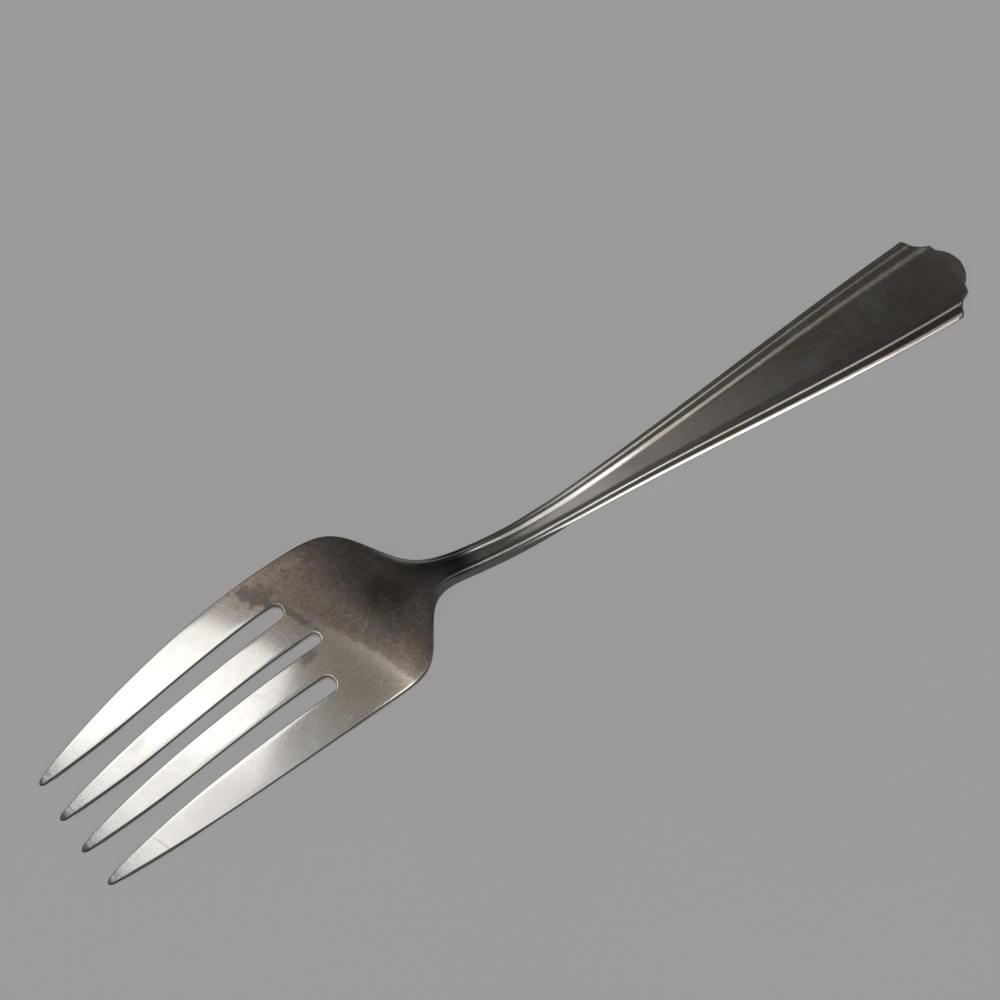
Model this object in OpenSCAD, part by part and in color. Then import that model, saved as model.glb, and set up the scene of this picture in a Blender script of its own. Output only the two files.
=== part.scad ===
// Salad fork, silver plated, lying face down with the back of the fork upwards.
// X runs from the tine tips to the handle end, Y across the fork and Z up from the table.
// Places along the fork are measured from the tine tips. The origin is under the middle of its length.

/* [Overall] */
// Length from the tine tips to the handle end
fork_length = 157.6; // [145:0.1:180]

/* [Plating] */
// Thickness of the silver plating
plate_t = 0.04; // [0.02:0.01:0.08]
// Length of bare metal at each tine tip, where the plating is worn away
worn_tip_length = 2; // [1.5:0.1:3.5]

/* [Head outline] */
// Width of the head where it is widest
head_width = 26.7; // [24:0.1:30]
// Distance from the tips to the widest place
head_widest_at = 41; // [34:0.5:46]
// Distance from the tips to the middle of the shoulder
shoulder_at = 55.7; // [52:0.1:60]
// Softness of the shoulder: larger is a gentler slope into the neck
shoulder_softness = 1.9; // [1.3:0.1:2.4]

/* [Tines] */
// Distance from the tips to the ends of the two outer slots
outer_slot_length = 40; // [34:0.5:44]
// Width of the outer slots
outer_slot_width = 2.6; // [1.8:0.1:3]
// Distance from the tips to the end of the middle slot
mid_slot_length = 41.9; // [35:0.5:45]
// Width of the middle slot
mid_slot_width = 1.9; // [1.4:0.1:2.6]
// Distance between the middles of the outer slots at their closed ends
slot_spacing_root = 13; // [11.5:0.1:14.5]
// Distance between the tips of the outer tines
outer_tip_spacing = 17.6; // [15:0.1:20]
// Distance between the tips of the inner tines
inner_tip_spacing = 5.6; // [4.6:0.1:6.6]
// Distance of the outer tips back from the inner tips
outer_tip_back = 0.4; // [0:0.1:1]
// Width of a tine's tip before it is rounded
tip_width = 1; // [0.7:0.05:1.3]
// Length over which the tines taper to their tips
tine_taper = 20; // [14:1:28]
// Length of the rounded tip of a tine
tip_round = 0.9; // [0.6:0.1:1.2]

/* [Handle outline] */
// Width of the neck where it is narrowest
neck_width = 4.3; // [3.6:0.1:5.5]
// Distance from the tips to the narrowest place
neck_at = 70; // [66:0.5:74]
// Width of the handle at its square shoulders
handle_width = 15.5; // [13:0.1:18]
// Widening of each side at the square shoulders, per length
handle_flare = 0.04; // [0:0.01:0.08]

/* [Handle end] */
// Distance of the square shoulders back from the handle end
corner_back = 5.2; // [4.6:0.1:7]
// Distance of the cusps back from the handle end
cusp_back = 2.2; // [2.1:0.1:3]
// Width over the two cusps
cusp_width = 9.5; // [8.6:0.1:10.4]
// Radius of the scoops between the shoulders and the cusps
scoop_radius = 4.3; // [3.4:0.1:7]
// Distance of the lobe's notches back from the handle end
notch_back = 1.8; // [1.4:0.05:2]
// Width of the lobe between its notches
notch_width = 7; // [6:0.1:8]

/* [Side profile] */
// Rise of the tines at their tips, per length
tip_rise = 0.4; // [0.3:0.01:0.5]
// Distance from the tips to the highest place of the arch
arch_at = 46.5; // [42:0.5:51]
// Height of the arch under the head's edge
arch_height = 13.2; // [10:0.1:16]
// Distance from the tips to the steepest place of the neck
drop_at = 64; // [61:0.5:67]
// Height there under the neck's edge
drop_height = 8.4; // [7:0.1:9.5]
// Fall of the neck there, per length
drop_fall = 0.53; // [0.4:0.01:0.65]
// Distance from the tips to the start of the straight handle
grip_at = 79; // [76:0.5:86]
// Height there under the handle's edge
grip_height = 3.85; // [3.2:0.05:4.6]
// Fall of the handle there, per length
grip_fall = 0.015; // [0:0.005:0.05]
// Distance of the resting place back from the handle end
rest_back = 2.5; // [2:0.5:12]
// Lift of the handle end above the resting place
end_lift = 0.03; // [0:0.01:0.2]

/* [Thickness] */
// Thickness of the tine tips
tip_t = 1.1; // [0.8:0.05:1.2]
// Length over which the tips thicken
tip_thin_length = 4; // [3:0.5:8]
// Thickness of the tines and of the palm's edge
tine_t = 1.3; // [1.1:0.05:1.6]
// Thickness of the palm in its middle, at the shoulder
palm_t = 1.8; // [1.5:0.05:2.2]
// Thickness of the neck in its middle
neck_t = 2.9; // [2.5:0.05:3.4]
// Thickness of the neck at its edge
neck_edge_t = 1.7; // [1.4:0.05:2.1]
// Thickness of the handle in its middle
handle_t = 2.35; // [1.8:0.05:2.8]
// Thickness of the handle from bead to bead
handle_edge_t = 0.65; // [0.6:0.05:1]

/* [Cross section] */
// Crown of the palm's back across its width
palm_crown = 1; // [0.4:0.05:1.6]
// Crown of the neck's back
neck_crown = 0.4; // [0.2:0.05:0.7]

/* [Threaded border] */
// Width of the border at the square shoulders, from the edge to the panel
border_width = 3.75; // [2.6:0.05:4.4]
// Width of the border at the neck
border_width_neck = 1.5; // [1:0.1:1.7]
// Depth of the rolled edge below the outer bead
edge_depth = 0.2; // [0.1:0.05:0.25]
// Depth of the groove between the bead and the inner thread
groove_depth = 0.06; // [0.04:0.01:0.16]
// Depth of the panel below the bead and the thread
panel_depth = 0.1; // [0.05:0.01:0.3]
// Depth of the panel at the neck
panel_depth_neck = 0.25; // [0.15:0.01:0.4]

/* [Hidden] */

// Places along the border, as shares of its width counted from the edge
bead_place = 0.24;
groove_place = 0.455;
thread_place = 0.61;
// Greatest share of a half width that the border takes
border_limit = 0.8;
// Share of a tip's width that stays blunt, and half width of the blunt end of the lobe
tip_blunt_share = 0.35;
lobe_blunt = 0.15;
// A slot narrower than this is closed
closed_slot = 0.001;
// Least distance between two sections
least_step = plate_t / 4;
// Cells across one tine, and tines
CELLS = 3;
TINES = 4;
// Length of one step between sections
tine_step = 2;
palm_step = 1.3;
handle_step = 4;
// Sections along a scoop, the lobe, a slot's round end and a rounded tip
scoop_sections = 5;
lobe_sections = 5;
slot_end_angles = [0, 30, 55, 75, 90];
tip_round_shares = [0, 0.08, 0.3, 0.6];
// Least radius of a scoop, as a share of its chord
scoop_least_share = 0.52;

corner_at = fork_length - corner_back;
cusp_at = fork_length - cusp_back;
notch_at = fork_length - notch_back;
rest_at = fork_length - rest_back;
border_start = shoulder_at + shoulder_softness;
border_full = neck_at - shoulder_softness;
head_end = max(outer_slot_length, mid_slot_length) + 2 * plate_t;

// Smooth step from 0 to 1 between two places
function ease(x, from, to) =
    let (s = min(1, max(0, (x - from) / (to - from))))
    s * s * (3 - 2 * s);

// Cubic curve between two stops, each a place, a value and a slope
function cubic(x, a, b) =
    let (span = b[0] - a[0], s = (x - a[0]) / span)
    a[1] * (1 - ease(x, a[0], b[0])) + b[1] * ease(x, a[0], b[0])
    + span * s * (1 - s) * (a[2] * (1 - s) - b[2] * s);

// Value of a smooth curve through a list of stops
function along(stops, x, i = 0) =
    x <= stops[i][0] ? stops[i][1]
    : i + 1 == len(stops) ? stops[i][1]
    : x <= stops[i + 1][0] ? cubic(x, stops[i], stops[i + 1])
    : along(stops, x, i + 1);

// Half width of the handle, its sides carried on past the square shoulders
function handle_half(x) =
    x > corner_at
        ? handle_width / 2 + handle_flare * (x - corner_at)
        : along([[neck_at, neck_width / 2, 0], [corner_at, handle_width / 2, handle_flare]], x);

// Half width of the head
function head_half(x) =
    let (
        short = max(0, 1 - x / head_widest_at),
        tip_half = (outer_tip_spacing + tip_width) / 2
    )
    head_width / 2 - (head_width / 2 - tip_half) * short * short;

// Half width of the fork without the shaped handle end
function side_half(x) =
    let (share = 1 / (1 + exp((x - shoulder_at) / shoulder_softness)))
    handle_half(x) + (head_half(x) - handle_half(x)) * share;

// Scoop: an arc from a square shoulder to a cusp, hollow towards the outside
scoop_run = cusp_at - corner_at;
scoop_fall = (handle_width - cusp_width) / 2;
scoop_chord = norm([scoop_run, scoop_fall]);
scoop_r = max(scoop_radius, scoop_chord * scoop_least_share);
scoop_in = sqrt(scoop_r * scoop_r - scoop_chord * scoop_chord / 4) / scoop_chord;
scoop_x = (corner_at + cusp_at) / 2 + scoop_fall * scoop_in;
scoop_y = (handle_width + cusp_width) / 4 + scoop_run * scoop_in;
function scoop_half(x) = scoop_y - sqrt(scoop_r * scoop_r - (x - scoop_x) * (x - scoop_x));

// Lobe: an arc through its two notches and the handle end
lobe_r = (notch_width * notch_width / 4 + notch_back * notch_back) / (2 * notch_back);
function lobe_half(x) =
    let (reach = x - fork_length + lobe_r)
    sqrt(max(0, lobe_r * lobe_r - reach * reach));

// Half width of the whole outline
function outline_half(x) =
    x <= corner_at ? side_half(x)
    : x <= cusp_at ? scoop_half(x)
    : x <= notch_at
        ? (cusp_width + (notch_width - cusp_width) * (x - cusp_at) / (notch_at - cusp_at)) / 2
    : max(lobe_blunt, lobe_half(x));

// Share of the taper of the tines at a place: 1 at the tips
function taper_share(x) =
    let (short = max(0, 1 - x / tine_taper))
    short * short;

// Half width of a slot at a place, with its walls set back into the metal; 0 past its end
function slot_half(x, length, width, width_at_tips, set_back) =
    let (
        round_r = width / 2 + set_back,
        past = x - length + width / 2,
        half = sqrt(max(0, round_r * round_r - past * past))
    )
    past <= 0 ? round_r + (width_at_tips - width) / 2 * taper_share(x)
    : half > closed_slot ? half
    : 0;
outer_slot_at_tips = (outer_tip_spacing - inner_tip_spacing) / 2 - tip_width;
mid_slot_at_tips = inner_tip_spacing - tip_width;
function outer_slot_half(x, set_back) =
    slot_half(x, outer_slot_length, outer_slot_width, outer_slot_at_tips, set_back);
function mid_slot_half(x, set_back) =
    slot_half(x, mid_slot_length, mid_slot_width, mid_slot_at_tips, set_back);

// Distance of an outer slot's middle from the middle of the fork
slot_spacing_tips = (outer_tip_spacing + inner_tip_spacing) / 2;
function slot_middle(x) =
    x < outer_slot_length
        ? (slot_spacing_tips + (slot_spacing_root - slot_spacing_tips) * x / outer_slot_length) / 2
        : slot_spacing_root / 2 * outline_half(x) / outline_half(outer_slot_length);

// Heights and thicknesses along the fork
handle_start = grip_at + (grip_at - neck_at);
rest_edge_height = handle_t - handle_edge_t + panel_depth;
edge_t_stops = [
    [0, tip_t, 0],
    [tip_thin_length, tine_t, 0],
    [shoulder_at, tine_t, 0],
    [neck_at, neck_edge_t, 0],
    [handle_start, handle_edge_t, 0]
];
middle_t_stops = [
    [0, tip_t, 0],
    [tip_thin_length, tine_t, 0],
    [outer_slot_length - tine_taper, tine_t, 0],
    [shoulder_at, palm_t, 0],
    [neck_at, neck_t, 0],
    [handle_start, handle_t, 0]
];
crown_stops = [
    [0, 0, 0],
    [outer_slot_length, palm_crown, 0],
    [shoulder_at, palm_crown, 0],
    [neck_at, neck_crown, 0],
    [handle_start, 0, 0]
];
profile_stops = [
    [0, 0, tip_rise],
    [arch_at, arch_height, 0],
    [drop_at, drop_height, -drop_fall],
    [grip_at, grip_height, -grip_fall],
    [rest_at, rest_edge_height, 0],
    [fork_length, rest_edge_height + end_lift, 0]
];

// Width of the border from the edge to the panel
function border_at(x) =
    let (share = max(0, (x - neck_at) / (corner_at - neck_at)))
    min(border_limit * side_half(x), border_width_neck + (border_width - border_width_neck) * share);

// Share of the border's height that is there at a place, as it rises out of the shoulder
function border_share(x) = ease(x, border_start, border_full);

// Depth of the panel below the bead: it deepens from the middle of the handle to the neck
panel_even_at = (neck_at + corner_at) / 2;
function panel_depth_at(x) =
    border_share(x) * along([[grip_at, panel_depth_neck, 0], [panel_even_at, panel_depth, 0]], x);

// Height of the rolled edge, groove and panel against the bead, at a distance in from the edge
function relief(x, inward) =
    let (share = border_share(x))
    lookup(inward / border_at(x), [
        [0, -share * edge_depth], [bead_place, 0], [groove_place, -share * groove_depth], [thread_place, 0],
        [1, -panel_depth_at(x)]
    ]);

// Height of the back and of the underside at a point, with the surface set back into the metal
function arch_share(x, y) =
    let (u = min(1, abs(y) / side_half(x)))
    1 - u * u;
function back_z(x, y, set_back) =
    along(profile_stops, x) + along(edge_t_stops, x) + along(crown_stops, x) * arch_share(x, y)
    + relief(x, max(0, side_half(x) - set_back - abs(y))) - set_back;
function under_z(x, y, set_back) =
    let (
        inward = max(0, side_half(x) - set_back - abs(y)),
        bulge = along(middle_t_stops, x) - along(edge_t_stops, x) - along(crown_stops, x)
            + 2 * panel_depth_at(x)
    )
    along(profile_stops, x) - bulge * arch_share(x, y) - relief(x, inward) + set_back;

// Columns of points across the two tines of one side: [inner tine, outer tine]
function tine_columns(x, half, set_back) =
    let (
        middle = slot_middle(x),
        gap = outer_slot_half(x, set_back),
        inner = mid_slot_half(x, set_back),
        tip = tip_share(x),
        inner_mid = (inner + middle - gap) / 2,
        inner_tine = tip * (middle - gap - inner),
        outer_mid = (middle + gap + half) / 2,
        outer_tine = tip * (half - middle - gap)
    )
    [
        [for (c = [0:CELLS]) inner_mid + inner_tine * (c / CELLS - 1 / 2)],
        [for (c = [0:CELLS]) outer_mid + outer_tine * (c / CELLS - 1 / 2)]
    ];
// Share of a tine's width that is left by the rounding of its tip
function tip_share(x) =
    let (short = max(0, 1 - x / tip_round))
    max(tip_blunt_share, sqrt(1 - short * short));

// Columns of points on the handle, which follow the border
function handle_columns(x, half) =
    let (
        scale = half / side_half(x),
        border = border_at(x),
        panel = side_half(x) - border,
        groove = side_half(x) - groove_place * border,
        bead = side_half(x) - bead_place * border,
        thread = side_half(x) - thread_place * border
    )
    scale * [[0, panel / 2, panel, thread], [thread, groove, bead, side_half(x)]];

// The two sets of columns blended between the slots and the neck
function columns(x, set_back) =
    let (
        half = outline_half(x) - set_back,
        share = ease(x, head_end, neck_at),
        tines = tine_columns(x, half, set_back),
        handle = handle_columns(x, half)
    )
    [for (t = [0:1]) [for (c = [0:CELLS]) (1 - share) * tines[t][c] + share * handle[t][c]]];

// Points of one section, tine by tine: each column has a back point and an underside point
function section(x, set_back) =
    let (
        inner_place = min(x, fork_length - set_back) - fork_length / 2,
        outer_place = inner_place + outer_tip_back * taper_share(x),
        half = columns(x, set_back),
        tines = [
            [outer_place, -1 * [for (c = [CELLS:-1:0]) half[1][c]]],
            [inner_place, -1 * [for (c = [CELLS:-1:0]) half[0][c]]],
            [inner_place, half[0]],
            [outer_place, half[1]]
        ]
    )
    [
        for (tine = tines) for (y = tine[1])
            for (z = [back_z(x, y, set_back), under_z(x, y, set_back)]) [tine[0], y, z]
    ];

// Places of the sections along the fork, in order
function steps(from, to, step) =
    let (count = max(1, ceil((to - from) / step)))
    [for (i = [0:count]) from + (to - from) * i / count];
function slot_end_places(length, width) =
    [for (a = slot_end_angles) length - width / 2 * (1 - sin(a))];
function sorted(list) =
    len(list) < 2 ? list
    : let (
        pivot = list[floor(len(list) / 2)],
        below = [for (v = list) if (v < pivot) v],
        same = [for (v = list) if (v == pivot) v],
        above = [for (v = list) if (v > pivot) v]
    )
    concat(sorted(below), same, sorted(above));
function spaced(list) =
    [for (i = [0:len(list) - 1]) if (i == 0 || list[i] - list[i - 1] > least_step) list[i]];

scoop_from = asin((corner_at - scoop_x) / scoop_r);
scoop_to = asin((cusp_at - scoop_x) / scoop_r);
lobe_from = acos((notch_at - fork_length + lobe_r) / lobe_r);
places = spaced(sorted(concat(
    [for (share = tip_round_shares) tip_round * share],
    [worn_tip_length, tip_thin_length, rest_at, cusp_at],
    steps(tip_round, head_end, tine_step),
    slot_end_places(outer_slot_length, outer_slot_width),
    slot_end_places(mid_slot_length, mid_slot_width),
    [outer_slot_length + plate_t, mid_slot_length + plate_t],
    steps(head_end, neck_at, palm_step),
    steps(neck_at, corner_at, handle_step),
    [
        for (i = [1:scoop_sections - 1])
            scoop_x + scoop_r * sin(scoop_from + (scoop_to - scoop_from) * i / scoop_sections)
    ],
    [for (i = [0:lobe_sections]) fork_length - lobe_r * (1 - cos(lobe_from * (1 - i / lobe_sections)))]
)));
LAST = len(places) - 1;
function index_at(place) = [for (i = [0:LAST]) if (abs(places[i] - place) <= least_step) i][0];
worn_index = index_at(worn_tip_length);
neck_index = index_at(neck_at);

// Number of a point: section, tine, column, then 0 for the back or 1 for the underside
function point_at(i, tine, column, under) = (i * TINES + tine) * (CELLS + 1) * 2 + column * 2 + under;

// Two triangles of a four-sided face
function pair(a, b, c, d) = [[a, b, c], [a, c, d]];

// True where a tine has a wall on its left or right at a section, beside a slot or at the fork's edge
function slot_open(i, tine, set_back) =
    tine == 1 ? mid_slot_half(places[i], set_back) > 0 : outer_slot_half(places[i], set_back) > 0;
function wall_left(i, tine, set_back) = tine == 0 || slot_open(i, tine - 1, set_back);
function wall_right(i, tine, set_back) = tine == TINES - 1 || slot_open(i, tine, set_back);

// Edges around a section, each as two points, in order round each tine
function rim_edges(i, set_back) = [
    for (tine = [0:TINES - 1]) each concat(
        [for (c = [0:CELLS - 1]) [point_at(i, tine, c, 0), point_at(i, tine, c + 1, 0)]],
        wall_right(i, tine, set_back) ? [[point_at(i, tine, CELLS, 0), point_at(i, tine, CELLS, 1)]] : [],
        [for (c = [CELLS:-1:1]) [point_at(i, tine, c, 1), point_at(i, tine, c - 1, 1)]],
        wall_left(i, tine, set_back) ? [[point_at(i, tine, 0, 1), point_at(i, tine, 0, 0)]] : []
    )
];

// Faces of the skin between two sections
section_points = TINES * (CELLS + 1) * 2;
function skin_faces(first, last, set_back) = [
    for (i = [first:last - 1]) for (e = rim_edges(i, set_back))
        each pair(e[0], e[1], e[1] + section_points, e[0] + section_points)
];

// Faces that close a section, towards the tips or towards the handle end
function cap_faces(i, to_tips) = [
    for (tine = [0:TINES - 1]) for (c = [0:CELLS - 1])
        let (
            a = point_at(i, tine, c, 0),
            b = point_at(i, tine, c + 1, 0),
            d = point_at(i, tine, c, 1),
            e = point_at(i, tine, c + 1, 1)
        )
        each (to_tips ? pair(a, d, e, b) : pair(a, b, e, d))
];

outer_points = [for (x = places) each section(x, 0)];
inner_points = [for (x = places) each section(x, plate_t)];
inside = len(outer_points);

// Faces of the narrow rim between the outside and the inside of the plating
function rim_faces(i) = [
    for (e = rim_edges(i, 0)) each pair(e[0], e[0] + inside, e[1] + inside, e[1])
];
function turned(faces) = [for (f = faces) [f[0], f[2], f[1]]];
function moved(faces, by) = [for (f = faces) [for (p = f) p + by]];

// Stamped blank of nickel silver, from the tine tips to the handle end
module core_blank() {
    color("#8f8877")
        polyhedron(
            inner_points,
            concat(cap_faces(0, true), skin_faces(0, LAST, plate_t), cap_faces(LAST, false)),
            convexity = 8
        );
}

// Plating between two sections: its outside, its inside and the faces that close its ends
module plating(first, last, end_faces) {
    color("#c9c7c1")
        polyhedron(
            concat(outer_points, inner_points),
            concat(
                skin_faces(first, last, 0),
                turned(moved(skin_faces(first, last, plate_t), inside)),
                rim_faces(first),
                end_faces
            ),
            convexity = 16
        );
}

// Silver plating of the head, open at the four tips where it is worn through
module head_plate() {
    plating(worn_index, neck_index, turned(rim_faces(neck_index)));
}

// Silver plating of the handle, from the neck round the handle end
module handle_plate() {
    end_cap = cap_faces(LAST, false);
    plating(neck_index, LAST, concat(end_cap, turned(moved(end_cap, inside))));
}

core_blank();
head_plate();
handle_plate();
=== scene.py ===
"""Looks of a silver-plated salad fork that lies face down on a pale floor.

Sizes are in millimetres, and places along the fork are measured from the tine tips, until a finished mesh
is scaled to metres and set in the frame.
"""

from __future__ import annotations

import logging
import math
from abc import ABC, abstractmethod
from dataclasses import dataclass, field
from enum import Enum
from functools import cached_property

import bmesh
import bpy
from mathutils import Matrix, Vector
from mathutils.geometry import intersect_point_line


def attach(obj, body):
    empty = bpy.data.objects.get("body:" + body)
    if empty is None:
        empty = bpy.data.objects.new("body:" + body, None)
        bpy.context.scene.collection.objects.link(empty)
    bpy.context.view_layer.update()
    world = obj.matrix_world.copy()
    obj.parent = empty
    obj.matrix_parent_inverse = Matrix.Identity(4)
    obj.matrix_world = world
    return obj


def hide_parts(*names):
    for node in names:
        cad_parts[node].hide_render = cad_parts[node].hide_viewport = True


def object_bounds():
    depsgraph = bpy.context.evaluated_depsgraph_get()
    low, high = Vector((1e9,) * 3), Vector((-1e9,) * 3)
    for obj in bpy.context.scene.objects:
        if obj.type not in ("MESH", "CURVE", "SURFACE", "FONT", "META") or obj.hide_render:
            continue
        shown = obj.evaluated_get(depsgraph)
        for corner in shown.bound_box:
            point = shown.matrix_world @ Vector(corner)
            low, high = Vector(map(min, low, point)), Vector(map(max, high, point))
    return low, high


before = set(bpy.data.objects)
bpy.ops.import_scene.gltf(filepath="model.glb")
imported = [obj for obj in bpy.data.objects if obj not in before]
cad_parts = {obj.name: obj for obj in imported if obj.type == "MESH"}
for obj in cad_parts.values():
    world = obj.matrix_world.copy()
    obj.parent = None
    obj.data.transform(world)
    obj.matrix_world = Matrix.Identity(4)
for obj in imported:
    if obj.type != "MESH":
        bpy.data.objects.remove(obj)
cad_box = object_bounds()

LOG = logging.getLogger("salad_fork")
METRES_PER_MM = 0.001
BUMP_DEPTH = 2e-5
SHARP_ANGLE = math.radians(50)
ROW_LAYER = "row"
COLUMN_LAYER = "column"
WALL_LAYER = "wall"
MERGE_DISTANCE = 1e-5
PLACE_SLACK = 1e-6
NOISE_MIDDLE = 0.5
BODY = "root"

# A span is where a smooth step leaves 0 and where it reaches 1; the step falls where the second is lower.
Span = tuple[float, float]
Band = tuple[Span, Span]
Pair = tuple[float, float]
Shares = tuple[float, ...]
Stop = tuple[float, float, float]
Triple = tuple[float, float, float]
Colour = tuple[float, float, float]
Grades = tuple[tuple[float, Colour], ...]
Socket = bpy.types.NodeSocket
Setting = str | bool | int | float | bpy.types.NodeTree
Source = Socket | float | tuple[float, ...]

BLACK: Colour = (0.0, 0.0, 0.0)


def ease(value: float, start: float, end: float) -> float:
    """Step smoothly from 0 to 1.

    Args:
        value: Where the step is read.
        start: Where the step leaves 0.
        end: Where the step reaches 1.

    Returns:
        The height of the step.
    """
    share = min(1.0, max(0.0, (value - start) / (end - start)))
    return share * share * (3 - 2 * share)


def mix(low: float, high: float, share: float) -> float:
    """Return the value that lies a share of the way from low to high."""
    return low + (high - low) * share


def along(stops: list[Stop], place: float) -> float:
    """Read a smooth curve through stops.

    Args:
        stops: Place, value and slope of each stop, in order.
        place: Where the curve is read.

    Returns:
        The curve's value, held level before the first stop and after the last.
    """
    if place <= stops[0][0]:
        return stops[0][1]
    for (x0, v0, s0), (x1, v1, s1) in zip(stops, stops[1:]):
        if place <= x1:
            span = x1 - x0
            share = (place - x0) / span
            bend = share * (1 - share) * (s0 * (1 - share) - s1 * share)
            return mix(v0, v1, ease(place, x0, x1)) + span * bend
    return stops[-1][1]


def spread(start: float, end: float, step: float) -> list[float]:
    """Return evenly spaced places from start up to, but without, end."""
    count = max(1, math.ceil((end - start) / step))
    return [mix(start, end, i / count) for i in range(count)]


class Face(Enum):
    """The two broad faces of the fork."""

    BACK = 1
    FRONT = -1


@dataclass(frozen=True)
class Slot:
    """A slot between two tines.

    Attributes:
        length: Distance from the tips to its closed end.
        width: Width along its straight stretch.
        width_at_tips: Width at the tips.
        taper: Length over which it widens to the tips.
    """

    length: float
    width: float
    width_at_tips: float
    taper: float

    @property
    def round_at(self) -> float:
        """Place of the centre of the round end."""
        return self.length - self.width / 2

    def half(self, place: float, set_back: float) -> float:
        """Half width at a place.

        Args:
            place: Distance from the tips.
            set_back: How far the walls are set back into the metal.

        Returns:
            The half width, 0 past the closed end.
        """
        radius = self.width / 2 + set_back
        past = place - self.round_at
        if past > 0:
            return math.sqrt(max(0.0, radius * radius - past * past))
        short = max(0.0, 1 - place / self.taper)
        return radius + (self.width_at_tips - self.width) / 2 * short * short

    def distance(self, place: float, off: float, set_back: float) -> float:
        """Distance of a point from the slot's wall.

        Args:
            place: Distance from the tips.
            off: Distance sideways from the slot's middle.
            set_back: How far the walls are set back into the metal.

        Returns:
            The distance into the metal.
        """
        past = place - self.round_at
        if past > 0:
            return math.hypot(past, off) - self.width / 2 - set_back
        return off - self.half(place, set_back)


@dataclass(frozen=True)
class ForkShape:
    """Sizes of the fork and the curves that follow from them.

    A name that ends in _at is a place along the fork, one that ends in _back a distance from an end, and one
    that ends in _t a thickness. Shares and slopes have no unit.
    """

    length: float
    head_width: float = 26.7
    head_widest_at: float = 41.0
    shoulder_at: float = 55.7
    shoulder_softness: float = 1.9
    outer_slot_length: float = 40.0
    outer_slot_width: float = 2.6
    mid_slot_length: float = 41.9
    mid_slot_width: float = 1.9
    slot_spacing_root: float = 13.0
    outer_tip_spacing: float = 17.6
    inner_tip_spacing: float = 5.6
    outer_tip_back: float = 0.4
    tip_width: float = 1.0
    tip_blunt_share: float = 0.35
    tine_taper: float = 20.0
    tip_round: float = 0.9
    neck_width: float = 4.3
    neck_at: float = 70.0
    handle_width: float = 15.5
    handle_flare: float = 0.04
    corner_back: float = 5.2
    corner_round: float = 0.5
    cusp_back: float = 2.2
    cusp_width: float = 9.5
    scoop_radius: float = 4.3
    notch_back: float = 1.8
    notch_width: float = 7.0
    lobe_blunt: float = 0.15
    tip_rise: float = 0.4
    arch_at: float = 46.5
    arch_height: float = 13.2
    drop_at: float = 64.0
    drop_height: float = 8.4
    drop_fall: float = 0.53
    grip_at: float = 79.0
    grip_height: float = 3.85
    grip_fall: float = 0.015
    rest_back: float = 2.5
    end_lift: float = 0.03
    tip_t: float = 1.1
    tip_thin_length: float = 4.0
    tine_t: float = 1.3
    palm_t: float = 1.8
    neck_t: float = 2.9
    neck_edge_t: float = 1.7
    handle_t: float = 2.35
    handle_edge_t: float = 0.65
    palm_crown: float = 1.0
    neck_crown: float = 0.4
    border_width: float = 3.75
    border_width_neck: float = 1.5
    border_limit: float = 0.8
    bead_place: float = 0.24
    groove_place: float = 0.455
    thread_place: float = 0.61
    groove_depth: float = 0.06
    panel_depth: float = 0.1
    panel_depth_neck: float = 0.25
    tip_edge_round: float = 0.3
    tine_edge_round: float = 0.18
    neck_edge_round: float = 0.6
    handle_edge_round: float = 0.32
    end_edge_round: float = 0.18

    @property
    def corner_at(self) -> float:
        """Place of the square shoulders of the handle end."""
        return self.length - self.corner_back

    @property
    def cusp_at(self) -> float:
        """Place of the cusps of the handle end."""
        return self.length - self.cusp_back

    @property
    def notch_at(self) -> float:
        """Place of the notches beside the lobe."""
        return self.length - self.notch_back

    @property
    def rest_at(self) -> float:
        """Place where the handle rests on the floor."""
        return self.length - self.rest_back

    @property
    def slots_end(self) -> float:
        """Place where the longest slot has closed."""
        return max(self.outer_slot_length, self.mid_slot_length)

    @property
    def handle_start(self) -> float:
        """Place where the handle has its full thickness."""
        return 2 * self.grip_at - self.neck_at

    @cached_property
    def outer_slot(self) -> Slot:
        """The slot between an outer and an inner tine."""
        at_tips = (self.outer_tip_spacing - self.inner_tip_spacing) / 2 - self.tip_width
        return Slot(self.outer_slot_length, self.outer_slot_width, at_tips, self.tine_taper)

    @cached_property
    def mid_slot(self) -> Slot:
        """The slot between the two inner tines."""
        at_tips = self.inner_tip_spacing - self.tip_width
        return Slot(self.mid_slot_length, self.mid_slot_width, at_tips, self.tine_taper)

    @cached_property
    def profile_stops(self) -> list[Stop]:
        """Height under the fork's edge."""
        rest = self.handle_t - self.handle_edge_t + self.panel_depth
        return [
            (0, 0, self.tip_rise),
            (self.arch_at, self.arch_height, 0),
            (self.drop_at, self.drop_height, -self.drop_fall),
            (self.grip_at, self.grip_height, -self.grip_fall),
            (self.rest_at, rest, 0),
            (self.length, rest + self.end_lift, 0),
        ]

    @cached_property
    def edge_t_stops(self) -> list[Stop]:
        """Thickness at the edge."""
        return [
            (0, self.tip_t, 0),
            (self.tip_thin_length, self.tine_t, 0),
            (self.shoulder_at, self.tine_t, 0),
            (self.neck_at, self.neck_edge_t, 0),
            (self.handle_start, self.handle_edge_t, 0),
        ]

    @cached_property
    def middle_t_stops(self) -> list[Stop]:
        """Thickness in the middle."""
        return [
            (0, self.tip_t, 0),
            (self.tip_thin_length, self.tine_t, 0),
            (self.outer_slot_length - self.tine_taper, self.tine_t, 0),
            (self.shoulder_at, self.palm_t, 0),
            (self.neck_at, self.neck_t, 0),
            (self.handle_start, self.handle_t, 0),
        ]

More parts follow.
